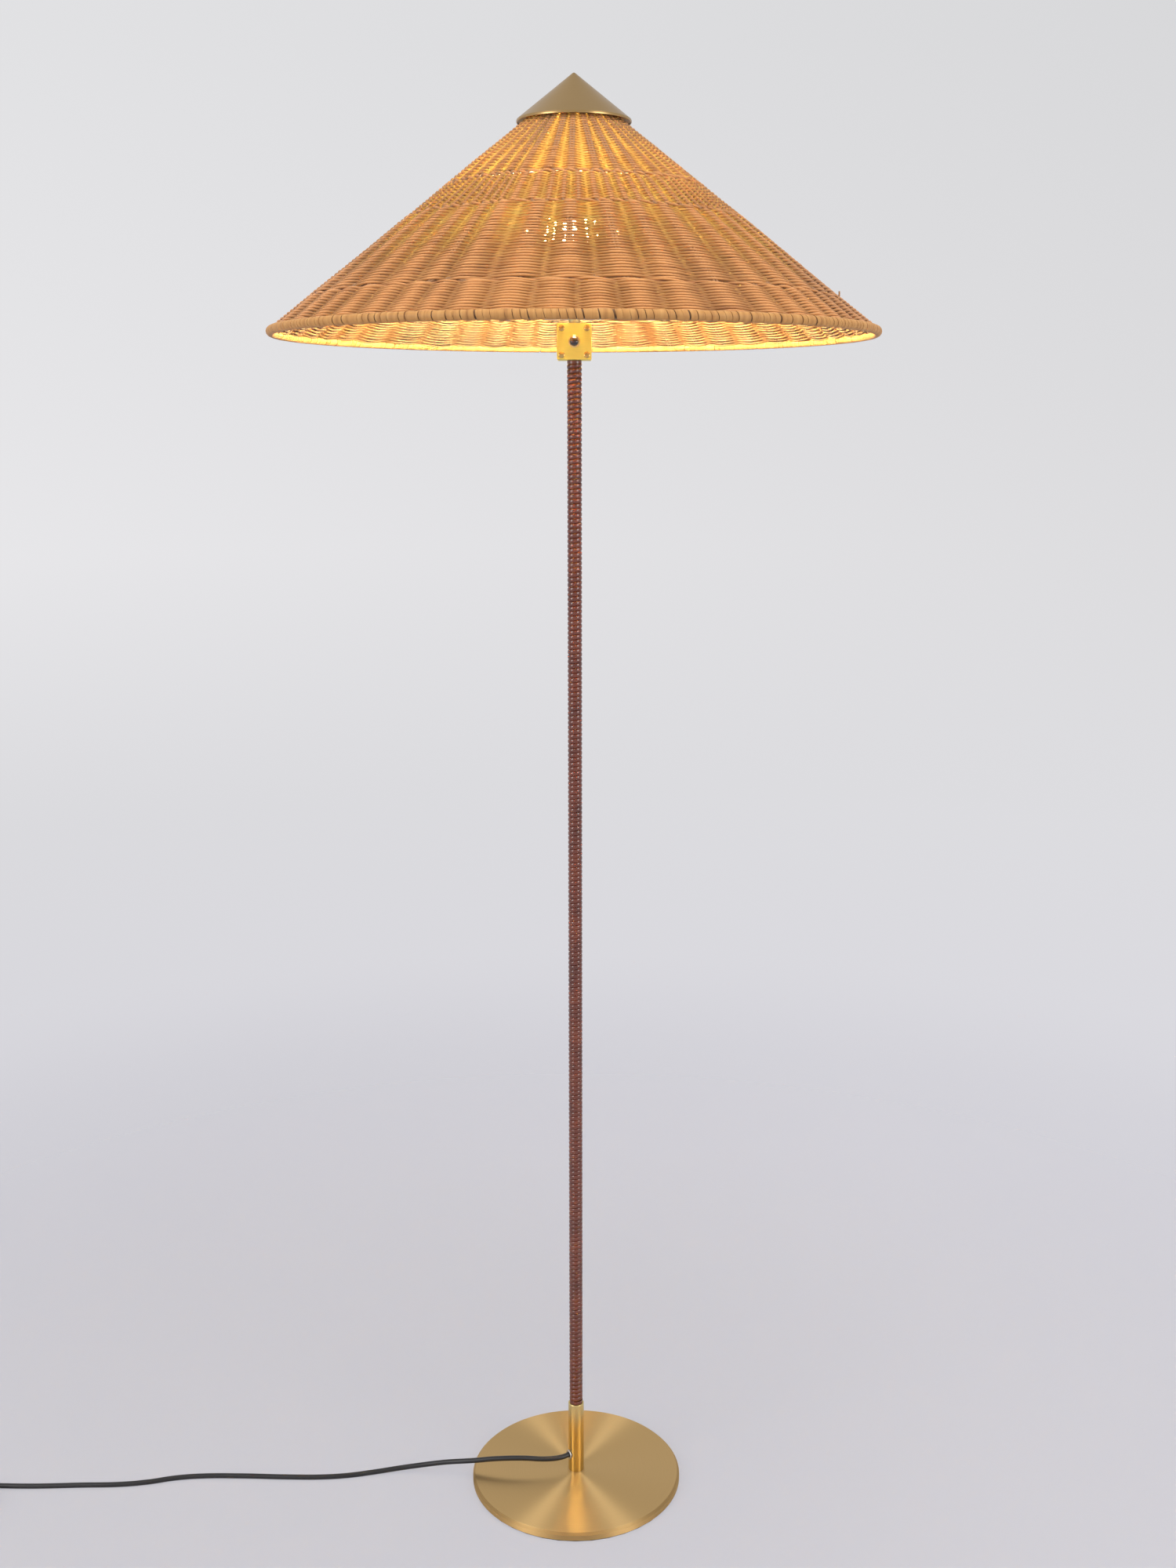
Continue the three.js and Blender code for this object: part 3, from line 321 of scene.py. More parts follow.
plug_shape = bmesh.new()
half_outline = [(x, RELIEF_LENGTH + y) for x, y in PLUG_OUTLINE]
outline = half_outline + [(-x, y) for x, y in reversed(half_outline)]
rim = [plug_shape.verts.new((x * MM, y * MM, -PLUG_HALF_THICK * MM)) for x, y in outline]
risen = bmesh.ops.extrude_face_region(plug_shape, geom=[plug_shape.faces.new(rim)])
shift_new(plug_shape, risen, (0, 0, 2 * PLUG_HALF_THICK * MM))
bmesh.ops.recalc_face_normals(plug_shape, faces=plug_shape.faces)
soften(plug_shape, 2.2, 4, 50)
plug_piece = into_mesh("plug", turn_to(plug_shape, place_plug), 50)
settle(plug_piece, black_gloss, "switch_plastic", "plug_body")

nickel = material("nickel", (0.62, 0.6, 0.56), 0.22, 1.0, uneven=(300, 0.15, 0.3))


def dress(finish, *names):
    """Gives CAD nodes whose shape is right a better material."""
    for name in names:
        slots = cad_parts[name].data.materials
        slots.clear()
        slots.append(finish)


dress(nickel, "plug_pin_left", "plug_pin_right")


# Tie: a woven black strap laid round all the turns of the coil, which it holds together. It is closed with
# its own end.
TIE_ANGLE_DEG = 330
TIE_WIDTH = 7
TIE_THICK = 1.0
TIE_GAP = 0.9
TIE_ROUND = 1.6
tie_fabric = material("tie_fabric", (0.02, 0.02, 0.024), 0.9)
weft = {"Vector": on_piece(tie_fabric), "Scale": 500, "Distortion": 1.5}
bump(tie_fabric, node(tie_fabric, "TexWave", weft).outputs["Fac"], 0.5, 0.0003)


def arc(middle, radii, start, end, steps):
    """Points along an arc from one angle to another, with both its ends."""
    angles = [start + (end - start) * step / steps for step in range(steps + 1)]
    return [(middle[0] + radii[0] * math.cos(a), middle[1] + radii[1] * math.sin(a)) for a in angles]


tie_turns = np.arange(TIE_ANGLE_DEG / 360 - COIL_START, coil_turns)
tied = [(coil_point(turn) - coil_middle).to_2d().length for turn in tie_turns]
tie_reach = CORD_MM / 2 + TIE_GAP
ends_in_out = (min(tied) - tie_reach + TIE_ROUND, max(tied) + tie_reach - TIE_ROUND)
ends_low_high = (COIL_LOW - tie_reach + TIE_ROUND, COIL_LOW + COIL_LAYER + tie_reach - TIE_ROUND)
tie_loop = []
for quarter, (out, high) in enumerate(((1, 1), (0, 1), (0, 0), (1, 0))):
    start = quarter * QUARTER
    middle = (ends_in_out[out], ends_low_high[high])
    tie_loop += arc(middle, (TIE_ROUND, TIE_ROUND), start, start + QUARTER, 4)
strap = bmesh.new()
edges = chain(strap, [(r, -TIE_WIDTH / 2, z) for r, z in tie_loop])[1]
shift_new(strap, bmesh.ops.extrude_edge_only(strap, edges=edges), (0, TIE_WIDTH * MM, 0))
bmesh.ops.recalc_face_normals(strap, faces=strap.faces)
bmesh.ops.solidify(strap, geom=list(strap.faces), thickness=-TIE_THICK * MM)
bmesh.ops.recalc_face_normals(strap, faces=strap.faces)
place_tie = Matrix.Translation(coil_middle * MM) @ Matrix.Rotation(math.radians(TIE_ANGLE_DEG), 4, "Z")
tie_piece = into_mesh("tie", turn_to(strap, place_tie))
settle(tie_piece, tie_fabric, "tie_fabric", "coil_tie")


# Base: a steel disc plated in brass and brushed in circles, with a turned chamfer round its edge. It stands
# on a thin black pad, and the stem is nutted to it from below.
def vector_maths(made, operation, *values, result="Vector"):
    return node(made, "VectorMath", dict(enumerate(values)), operation=operation).outputs[result]


def off_axis(made):
    """How far a point lies from the lamp's axis."""
    flat = vector_maths(made, "MULTIPLY", on_piece(made), (1, 1, 0))
    return vector_maths(made, "LENGTH", flat, result="Value")


def xyz(made):
    return node(made, "SeparateXYZ", {0: on_piece(made)}).outputs


def brass(name, colour, roughness, marks=0.03, stretch=(1, 1, 1), rings=0, gleam=0.0):
    """Plated brass. Its brush marks lie along a stretched grain, or else run in rings round the lamp's axis,
    with a gleam across them.
    """
    made = material(name, colour, roughness, 1.0, sockets={"Anisotropic": gleam})
    if rings:
        along = node(made, "CombineXYZ", {"X": off_axis(made)}).outputs[0]
        brush = speckle(made, along, rings, 3, 0.7)
        feed(made, "Tangent", node(made, "Tangent", direction_type="RADIAL", axis="Z").outputs[0])
        made.node_tree.nodes["Principled BSDF"].inputs["Anisotropic Rotation"].default_value = 0.25
    else:
        brush = grain(made, 1500, 3, 0.7, stretch)
    bump(made, brush, marks)
    darker = [c * 0.8 for c in colour]
    tones = {"Factor": spread(made, brush, 0.0, 0.35), "A": (*colour, 1), "B": (*darker, 1)}
    feed(made, "Base Color", node(made, "Mix", tones, data_type="RGBA").outputs["Result"])
    feed(made, "Roughness", spread(made, grain(made, 25), roughness * 0.85, roughness * 1.15))
    return made


# The chamfer and the side are duller than the top.
disc_brass = brass("disc_brass", (0.67, 0.445, 0.19), 0.42, 0.02, rings=900, gleam=0.96)
feed(disc_brass, "Roughness", spread(disc_brass, xyz(disc_brass)["Z"], 0.66, 0.42, 0.0097, 0.00995))

DISC_RADIUS = 117.4
DISC_LOW = 1.3
DISC_TOP = 10.0
DISC_HOLE = 4.7
CHAMFER = 2.6
LOWER_CHAMFER = 0.6
RECESS_RADIUS = 22
RECESS_TOP = 6.3
disc_profile = [(DISC_HOLE, RECESS_TOP), (RECESS_RADIUS, RECESS_TOP), (RECESS_RADIUS, DISC_LOW)]
disc_profile += [(DISC_RADIUS - LOWER_CHAMFER, DISC_LOW), (DISC_RADIUS, DISC_LOW + LOWER_CHAMFER)]
disc_profile += [(DISC_RADIUS, DISC_TOP - CHAMFER)]
disc_profile += [(radius, DISC_TOP) for radius in (DISC_RADIUS - CHAMFER, 60, 30, 12, DISC_HOLE)]
disc = soften(spun(disc_profile, 192), 0.25, 2, 30)
settle(into_mesh("disc", disc, 20), disc_brass, "brass", "base_disc")

dress(material("pad_rubber", (0.012, 0.01, 0.01), 0.85, marks=(700, 0.3, 0.0003)), "base_pad")

zinc = material("zinc", (0.55, 0.55, 0.53), 0.38, 1.0, uneven=(220, 0.28, 0.5), marks=(900, 0.08))
dress(zinc, "base_washer", "base_nut", "base_nipple", "stem_nut", "neck_nipple", "neck_nut", "harp_saddle")


# Ferrule: a plain brass tube at the stem's foot, polished along its length, with a hole for the cord. A clear
# bush sits in the hole, and the brass stem goes up inside the lace.
def tube(inner, outer, low, high, steps):
    """A plain tube, or a rod where the inner radius is 0."""
    return spun([(inner, low), (outer, low), (outer, high), (inner, high)], steps)


def cut(piece, *shapes):
    """Cuts holes of the shapes given in a piece."""
    piece.modifiers.clear()
    tools = [into_mesh("tool", shape) for shape in shapes]
    for tool in tools:
        tool.modifiers.clear()
        holes = piece.modifiers.new("hole", "BOOLEAN")
        holes.operation = "DIFFERENCE"
        holes.solver = "EXACT"
        holes.object = tool
    graph = bpy.context.evaluated_depsgraph_get()
    cut_mesh = bpy.data.meshes.new_from_object(piece.evaluated_get(graph))
    piece.modifiers.clear()
    piece.data = cut_mesh
    for tool in tools:
        bpy.data.objects.remove(tool)
    return shade(piece, 30)


FERRULE_INNER = 6.2
FERRULE_RADIUS = 8.75
FERRULE_LOW = 10.1
FERRULE_TOP = 93.8
BUSH_HOLE = 4.2
stem_brass = brass("stem_brass", (0.73, 0.57, 0.25), 0.22, 0.03, (1, 1, 0.02))
ferrule = soften(tube(FERRULE_INNER, FERRULE_RADIUS, FERRULE_LOW, FERRULE_TOP, 96), 0.8, 3)
out_of_hole = Matrix.Translation(exit_point * MM) @ Matrix.Rotation(exit_angle, 4, "Z")
out_of_hole = out_of_hole @ Matrix.Rotation(-QUARTER, 4, "Y")
drill = turn_to(tube(0, BUSH_HOLE, 1, 14, 32), out_of_hole)
settle(cut(into_mesh("ferrule", ferrule, 30), drill), stem_brass, "brass", "stem_ferrule")
dress(stem_brass, "stem_tube")

clear_bush = material("clear_bush", (0.5, 0.49, 0.5), 0.12, 0.7)
bump(clear_bush, grain(clear_bush, 260, 2), 0.25, 0.0006)
bush_profile = [(3.1, 4.9), (3.9, 4.9), (3.9, 8.7), (5.1, 8.75), (5.35, 9.3), (5.0, 9.9), (4.3, 10.1)]
bush = soften(spun(bush_profile + [(3.1, 10.1)], 48), 0.15)
settle(into_mesh("bush", turn_to(bush, out_of_hole)), clear_bush, "clear_bush", "cord_bush")
dress(black_flex, "stem_lead", "neck_lead")


# Lace: one long strip of dark glazed leather wound round the stem in close turns, each a little domed. A
# plain turn hides its end at the foot and at the head.
def ramp(made, value, *stops):
    """Turns a value into a colour, with stops of (place, colour)."""
    new = node(made, "ValToRGB", {"Fac": value})
    elements = new.color_ramp.elements
    while len(elements) < len(stops):
        elements.new(0.5)
    for element, (place, colour) in zip(elements, stops):
        element.position = place
        element.color = (*colour, 1)
    return new.outputs["Color"]


def to_mesh(piece):
    """Turns a curve piece into a mesh, so that its faces can be looked at and kept."""
    graph = bpy.context.evaluated_depsgraph_get()
    data = bpy.data.meshes.new_from_object(piece.evaluated_get(graph))
    name = piece.name
    bpy.data.objects.remove(piece)
    new = bpy.data.objects.new(name, data)
    scene.collection.objects.link(new)
    return new


LACE_LOW = 93.9
LACE_TOP = 1236.9
LACE_PITCH = 4.9
LACE_STEPS = 28
LACE_INNER = 6.2
LACE_CREST = 7.5
TUCK_HEIGHT = 3.4
leather = material(
    "leather",
    (0.15, 0.028, 0.011),
    0.42,
    uneven=(180, 0.28, 0.46),
    sockets={"Specular IOR Level": 0.1, "Coat Weight": 1.0, "Coat Roughness": 0.14, "Coat IOR": 1.6},
)
hide_stops = ((0.3, (0.085, 0.016, 0.008)), (0.55, (0.15, 0.028, 0.011)), (0.75, (0.21, 0.045, 0.014)))
feed(leather, "Base Color", ramp(leather, grain(leather, 55, 5, 0.65), *hide_stops))
bump(leather, grain(leather, 1300, 6, 0.7), 0.15, 0.0003)

# Across the strip, as shares of the pitch, and the radius there as a share of the way from root to crest
LACE_EDGE = 0.497
LACE_SECTION = [(-LACE_EDGE, 0), (-LACE_EDGE, 0.2), (-0.42, 0.6), (-0.24, 0.9), (0, 1), (0.24, 0.92)]
LACE_SECTION += [(0.42, 0.64), (LACE_EDGE, 0.2), (LACE_EDGE, 0)]
lace = bmesh.new()
strip = []
for across, up in LACE_SECTION:
    radius = LACE_INNER + (LACE_CREST - LACE_INNER) * up
    strip.append((radius, 0, LACE_LOW + (0.5 + across) * LACE_PITCH))
verts, edges = chain(lace, strip)
rise = (0, 0, LACE_PITCH / LACE_STEPS * MM)
sweep = {"cent": (0, 0, 0), "axis": (0, 0, 1), "dvec": rise, "angle": TURN, "steps": LACE_STEPS}
bmesh.ops.spin(lace, geom=verts + edges, **sweep)
bmesh.ops.recalc_face_normals(lace, faces=lace.faces)
lace_piece = into_mesh("lace", lace, 60)
turns = lace_piece.modifiers.new("turns", "ARRAY")
turns.count = int((LACE_TOP - LACE_LOW) / LACE_PITCH - 1)
turns.use_relative_offset = False
turns.use_constant_offset = True
turns.constant_offset_displace = (0, 0, LACE_PITCH * MM)
turns.use_merge_vertices = True
turns.merge_threshold = 1e-6
lace_piece = to_mesh(lace_piece)
wound = bmesh.new()
wound.from_mesh(lace_piece.data)
bmesh.ops.holes_fill(wound, edges=[edge for edge in wound.edges if edge.is_boundary])
wound.to_mesh(lace_piece.data)
settle(lace_piece, leather, "lace_leather", "leather_wrap")
for name, low in (("lace_foot", LACE_LOW), ("lace_head", LACE_TOP - TUCK_HEIGHT)):
    tuck = tube(LACE_INNER + 0.1, LACE_CREST - 0.25, low, low + TUCK_HEIGHT, 48)
    settle(into_mesh(name, soften(tuck, 0.4, 3)), leather, "lace_leather")


# Switch box: a folded brass box on top of the stem. Four slotted screws hold its cover, and the push switch's
# threaded barrel comes through the cover with a six-sided nut on it.
BOX_LOW = 1237.0
BOX_TOP = 1271.5
BOX_HALF = 17.0
BOX_BACK = 16.0
BOX_WALL = 1.8
BOX_CORNER = 1.4
COVER_FRONT = -18.0
COVER_BACK = -16.0
FIT_GAP = 0.1
BOX_MIDDLE = (BOX_LOW + BOX_TOP) / 2
# The box's brass is paler and yellower than the rest: its own brass colour with painted light from the bulb's
# glow on the cover.
box_brass_painted_light = brass("box_brass_painted_light", (0.95, 0.75, 0.18), 0.58, 0.03, (0.05, 1, 1))


def block(low, high, corner, edge):
    """A block with its four long edges along Y rounded by corner and all its edges eased."""
    shape = bmesh.new()
    bmesh.ops.create_cube(shape, size=1)
    size = [(b - a) * MM for a, b in zip(low, high)]
    middle = [(a + b) / 2 * MM for a, b in zip(low, high)]
    turn_to(shape, Matrix.Translation(middle) @ Matrix.Diagonal((*size, 1)))
    along = [e for e in shape.edges if abs((e.verts[0].co - e.verts[1].co).normalized().y) > 0.9]
    round_off(shape, along, corner, 5, False)
    return soften(shape, edge, 2, 50)


def facing_front(shape, x, y, z):
    """Turns a piece made along +Z to the front and puts its foot at the place given."""
    return turn_to(shape, Matrix.Translation((x * MM, y * MM, z * MM)) @ Matrix.Rotation(QUARTER, 4, "X"))


case_low = (-BOX_HALF, COVER_BACK + FIT_GAP, BOX_LOW)
case = into_mesh("box", block(case_low, (BOX_HALF, BOX_BACK, BOX_TOP), BOX_CORNER, 0.25))
hollow_low = (-BOX_HALF + BOX_WALL, COVER_BACK - 5, BOX_LOW + BOX_WALL)
hollow = block(hollow_low, (BOX_HALF - BOX_WALL, BOX_BACK - BOX_WALL, BOX_TOP - BOX_WALL), 0.5, 0.1)
well = tube(0, 6.3, BOX_LOW - 3, BOX_LOW + 4, 48)
settle(cut(case, hollow, well), box_brass_painted_light, "brass", "switch_box")

SCREW_X = 12.4
SCREW_Z = 12.7
SCREW_HEAD = 3.15
SCREW_HOLE = 1.8
BARREL_HOLE = 5.7
SCREW_TURNS_DEG = (42, 96, 18, 71)
SLOT_SIZE = (9, 0.85, 1.6)
SLOT_HEIGHT = 1.5
cover_low = (-BOX_HALF, COVER_FRONT, BOX_LOW)
cover = into_mesh("cover", block(cover_low, (BOX_HALF, COVER_BACK, BOX_TOP), BOX_CORNER, 0.3))
screw_places = [(side * SCREW_X, BOX_MIDDLE + up * SCREW_Z) for up in (1, -1) for side in (-1, 1)]
holes = [(BARREL_HOLE, 0, BOX_MIDDLE)] + [(SCREW_HOLE, x, z) for x, z in screw_places]
tools = [facing_front(tube(0, radius, -5, 5, 48), x, COVER_FRONT + 1, z) for radius, x, z in holes]
settle(cut(cover, *tools), box_brass_painted_light, "brass", "switch_cover")

screw_brass = brass("screw_brass", (0.66, 0.44, 0.16), 0.2, 0.02)
on_cover = COVER_FRONT - FIT_GAP
head = [(0, -11), (1.5, -11), (1.5, 0), (SCREW_HEAD, 0), (SCREW_HEAD, 0.5), (2.9, 0.9), (2.2, 1.25)]
head += [(1.1, 1.45), (0, 1.5)]
for number, ((x, z), degrees) in enumerate(zip(screw_places, SCREW_TURNS_DEG), 1):
    screw = into_mesh(f"screw_{number}", facing_front(soften(spun(head, 40), 0.12), x, on_cover, z))
    slot = bmesh.new()
    bmesh.ops.create_cube(slot, size=1)
    shaped = Matrix.Diagonal((*[size * MM for size in SLOT_SIZE], 1))
    turned = Matrix.Rotation(math.radians(degrees), 4, "Z")
    turn_to(slot, Matrix.Translation((0, 0, SLOT_HEIGHT * MM)) @ turned @ shaped)
    settle(cut(screw, facing_front(slot, x, on_cover, z)), screw_brass, "brass", f"cover_screw_{number}")


# Push switch: a black moulded body behind the cover, a bright threaded barrel through it, and a glossy dark
# button that slides in the barrel.
BARREL_END = -21.6
BARREL_RADIUS = 5.4
BARREL_BORE = 4.65
THREAD_TURNS = 9
WORKS_HALF = 11
WORKS_UP = 7.5
barrel_metal = material("barrel_metal", (0.9, 0.76, 0.5), 0.24, 1.0, uneven=(200, 0.12, 0.24))

works_low = (-WORKS_HALF, COVER_BACK + FIT_GAP, BOX_MIDDLE - WORKS_UP)
works = into_mesh("switch_works", block(works_low, (WORKS_HALF, 0.1, BOX_MIDDLE + WORKS_UP), 0.6, 0.3))
chamber = spun([(0, 0), (5.2, 0), (5.2, 9.1), (BARREL_BORE, 9.1), (BARREL_BORE, 16), (0, 16)], 48)
settle(cut(works, facing_front(chamber, 0, -2.8, BOX_MIDDLE)), black_gloss, "switch_plastic", "switch_body")
barrel_length = COVER_BACK - BARREL_END + 1
thread = [(BARREL_BORE, 0)]
for turn in range(THREAD_TURNS):
    start = (barrel_length - 0.6) * turn / THREAD_TURNS
    half = (barrel_length - 0.6) / THREAD_TURNS / 2
    thread += [(BARREL_RADIUS - 0.35, start), (BARREL_RADIUS, start + half)]
thread += [(BARREL_RADIUS - 0.1, barrel_length - 0.3), (BARREL_RADIUS - 0.25, barrel_length)]
barrel = facing_front(spun(thread + [(BARREL_BORE, barrel_length)], 64), 0, COVER_BACK + 1, BOX_MIDDLE)
settle(into_mesh("barrel", barrel, 20), barrel_metal, "brass")

NUT_ACROSS = 12.0
NUT_HEIGHT = 2.2
nut_brass = brass("nut_brass", (1.0, 0.85, 0.55), 0.16, 0.02)
nut = bmesh.new()
nut_sides = {"radius1": NUT_ACROSS / math.sqrt(3) * MM, "radius2": NUT_ACROSS / math.sqrt(3) * MM}
bmesh.ops.create_cone(nut, cap_ends=True, segments=6, depth=NUT_HEIGHT * MM, **nut_sides)
turn_to(nut, Matrix.Translation((0, 0, NUT_HEIGHT / 2 * MM)) @ Matrix.Rotation(QUARTER, 4, "Z"))
soften(nut, 0.45, 3, 50)
nut_piece = into_mesh("ring_nut", facing_front(nut, 0, on_cover, BOX_MIDDLE), 30)
corners = [(5.8, NUT_HEIGHT + 0.1), (6.2, 1.3), (6.4, -0.2), (7.6, -0.2), (7.6, NUT_HEIGHT + 1)]
nut_cuts = [tube(0, 5.5, -2, 6, 64), spun(corners + [(5.8, NUT_HEIGHT + 1)], 64)]
nut_cuts = [facing_front(shape, 0, on_cover, BOX_MIDDLE) for shape in nut_cuts]
settle(cut(nut_piece, *nut_cuts), nut_brass, "brass", "switch_ring_nut")

BUTTON_BACK = -11.9
BUTTON_RADIUS = 4.5
BUTTON_RIM = 11.3
BUTTON_DOME = 2.9
button_gloss = material(
    "button_gloss", (0.022, 0.008, 0.008), 0.09, uneven=(90, 0.06, 0.14), sockets={"Coat Weight": 0.6}
)
button_profile = [(0, 0), (4.9, 0), (4.9, 1.4), (BUTTON_RADIUS, 1.4)]
button_profile += arc((0, BUTTON_RIM), (BUTTON_RADIUS, BUTTON_DOME), 0, QUARTER, 8)
button = facing_front(spun(button_profile, 64), 0, BUTTON_BACK, BOX_MIDDLE)
settle(into_mesh("button", button), button_gloss, "switch_plastic", "switch_button", body="button")


# Neck and lamp holder: a brass sleeve over the threaded nipple, and above the harp's saddle a turned brass
# cup with a beaded lip round the cream moulding that the bulb screws into.
NECK_BORE = 4.3
NECK_RADIUS = 5.5
NECK_LOW = 1271.6
NECK_TOP = 1276.0
# The sleeve's brass is nearly white-yellow: painted light for the bulb's glow falling on it.
neck = into_mesh("neck", soften(tube(NECK_BORE, NECK_RADIUS, NECK_LOW, NECK_TOP, 64), 0.35, 3))
settle(neck, brass("neck_brass_painted_light", (1.0, 0.94, 0.55), 0.5), "brass", "neck_sleeve")

CUP_LOW = 1277.7
CUP_FOOT = 1280.7
CUP_TOP = 1314.7
CUP_RADIUS = 19.5
CUP_CURVE = 3.2
cup_brass = brass("cup_brass", (0.66, 0.46, 0.2), 0.26, 0.04, (0.02, 0.02, 1))
cup_profile = [(NECK_BORE, CUP_LOW), (8, CUP_LOW), (8, CUP_FOOT)]
cup_profile += arc((CUP_RADIUS - CUP_CURVE, CUP_FOOT + CUP_CURVE), (CUP_CURVE, CUP_CURVE), -QUARTER, 0, 5)
for out, up in ((0, 12), (0.5, 12.5), (0.5, 13.5), (0, 14)):
    cup_profile.append((CUP_RADIUS + out, CUP_FOOT + up))
for out, down in ((0, 1.6), (0.6, 1.2), (0.6, 0.2), (0, 0), (-0.9, 0)):
    cup_profile.append((CUP_RADIUS + out, CUP_TOP - down))
cup_profile += [(CUP_RADIUS - 0.9, CUP_FOOT + 3.4), (CUP_RADIUS - 3, CUP_FOOT + 0.9)]
cup_profile.append((NECK_BORE, CUP_FOOT + 0.9))
cup = soften(spun(cup_profile, 80), 0.15, 2, 50)
settle(into_mesh("cup", cup), cup_brass, "brass", "holder_cup")

cream = material("cream", (0.74, 0.69, 0.58), 0.45, uneven=(60, 0.38, 0.55), marks=(400, 0.08))
insert_profile = [(0, 1281.8), (15.3, 1281.8), (18.3, 1284.8), (18.3, 1313.3), (13.5, 1313.3), (13.5, 1285.1)]
insert = soften(spun(insert_profile + [(0, 1285.1)], 64), 0.3)
settle(into_mesh("insert", insert), cream, "holder_plastic", "holder_insert")


# Bulb: a lit globe of frosted glass, so that the glass itself glows. It stands in a rolled screw cap of
# bright metal, which screws into the lamp holder.
BULB_LOW = 1285.2
CAP_RADIUS = 13.2
CAP_HEIGHT = 25
CAP_TURNS = 7
GLOBE_RADIUS = 30
GLOBE_MIDDLE = BULB_LOW + 74
GLASS_NECK = 12.4
GLASS_LOW = 19.3
GLASS_THICK = 1
LEAVE = math.radians(-42)
glow = {"Emission Color": (1.0, 0.85, 0.43, 1), "Emission Strength": 720}
bulb_glow = material("bulb_glow", (1.0, 0.93, 0.8), 0.3, marks=(600, 0.05), sockets=glow)

glass = [(GLASS_NECK - GLASS_THICK, BULB_LOW + GLASS_LOW), (GLASS_NECK, BULB_LOW + GLASS_LOW)]
glass.append((GLASS_NECK, BULB_LOW + CAP_HEIGHT))
ball = arc((0, GLOBE_MIDDLE), (GLOBE_RADIUS, GLOBE_RADIUS), LEAVE, QUARTER, 20)
pull = (ball[0][1] - glass[-1][1]) * 0.45
shoulder = [
    Vector(glass[-1]),
    Vector((GLASS_NECK, glass[-1][1] + pull)),
    Vector((ball[0][0] + pull * math.sin(LEAVE), ball[0][1] - pull * math.cos(LEAVE))),
    Vector(ball[0]),
]
for step in range(1, 9):
    t = step / 8
    weights = ((1 - t) ** 3, 3 * t * (1 - t) ** 2, 3 * t * t * (1 - t), t ** 3)
    glass.append(tuple(sum((w * p for w, p in zip(weights, shoulder)), Vector((0, 0)))))
glass += ball[1:-1] + [(0, ball[-1][1])]
inner = [(max(r - GLASS_THICK, 0), z - (GLASS_THICK if r < 5 else 0.4)) for r, z in reversed(glass[3:])]
globe = into_mesh("globe", spun(glass + inner, 72))
settle(globe, bulb_glow, "bulb_glass", "bulb_globe")

thread = [(0, 0), (4.5, 0), (4.5, 1.6), (10, 4.6)]
for turn in range(CAP_TURNS):
    start = 5.2 + 2.4 * turn
    thread += [(CAP_RADIUS - 0.9, start), (CAP_RADIUS, start + 0.7), (CAP_RADIUS, start + 1.1)]
thread += [(CAP_RADIUS - 0.4, 22.6), (CAP_RADIUS - 0.2, CAP_HEIGHT), (CAP_RADIUS - 0.7, CAP_HEIGHT)]
thread += [(CAP_RADIUS - 1.4, 20), (0, 19)]
bulb_cap = turn_to(spun(thread, 56), Matrix.Translation((0, 0, BULB_LOW * MM)))
bulb_metal = material("bulb_metal", (0.6, 0.6, 0.57), 0.3, 1.0, uneven=(150, 0.22, 0.4))
settle(into_mesh("bulb_cap_threads", bulb_cap), bulb_metal, "bulb_metal", "bulb_cap")


# Harp: a bow of steel wire whose ends stand in two brass sleeves on the saddle. Its top carries a round seat
# and a threaded stud for the shade.
HARP_FOOT = 24.5
HARP_LOW = 1285.9
HARP_TOP = 1446.6
HARP_HALF = 47.0
SADDLE = 1276.1
STRAIGHT = SADDLE + 19.7
WIRE_RADIUS = 1.6
STUD_RADIUS = 3.1
STUD_TURNS = 13
harp_steel = material("harp_steel", (0.5, 0.49, 0.46), 0.3, 1.0, uneven=(260, 0.22, 0.42))

bow_rise = HARP_TOP - SADDLE
bow = [(HARP_FOOT, HARP_LOW), (HARP_FOOT, (HARP_LOW + STRAIGHT) / 2), (HARP_FOOT, STRAIGHT)]
BOW_SHARES = ((0.7, 0.215), (0.93, 0.34), (1, 0.47), (0.96, 0.61), (0.78, 0.78), (0.47, 0.925), (0.2, 0.985))
bow += [(HARP_HALF * out, SADDLE + bow_rise * up) for out, up in BOW_SHARES]
bow_line = [(x, 0, z) for x, z in bow] + [(0, 0, HARP_TOP)] + [(-x, 0, z) for x, z in reversed(bow)]
harp = wire("harp_wire", [bow_line], WIRE_RADIUS, sides_level=4, kind="BEZIER")
settle(harp, harp_steel, "steel", "harp_bow")
seat_profile = [(0, 1444.6), (6, 1444.6), (6, 1448.6), (STUD_RADIUS, 1448.6)]
for turn in range(STUD_TURNS):
    seat_profile += [(2.75, 1449 + 1.2 * turn), (STUD_RADIUS, 1449.6 + 1.2 * turn)]
seat_profile += [(2.4, 1465.1), (0, 1465.1)]
settle(into_mesh("harp_seat", soften(spun(seat_profile, 48), 0.2, 2, 60)), harp_steel, "steel")
for name, side in (("harp_sleeve_left", -1), ("harp_sleeve_right", 1)):
    sleeve = [(1.9, 1277.7), (3, 1277.7), (3, 1291.4), (2.6, 1292.7), (1.9, 1292.7)]
    stood = turn_to(soften(spun(sleeve, 40), 0.25), Matrix.Translation((side * HARP_FOOT * MM, 0, 0)))
    settle(into_mesh(f"{name}_turned", stood), stem_brass, "brass", name)


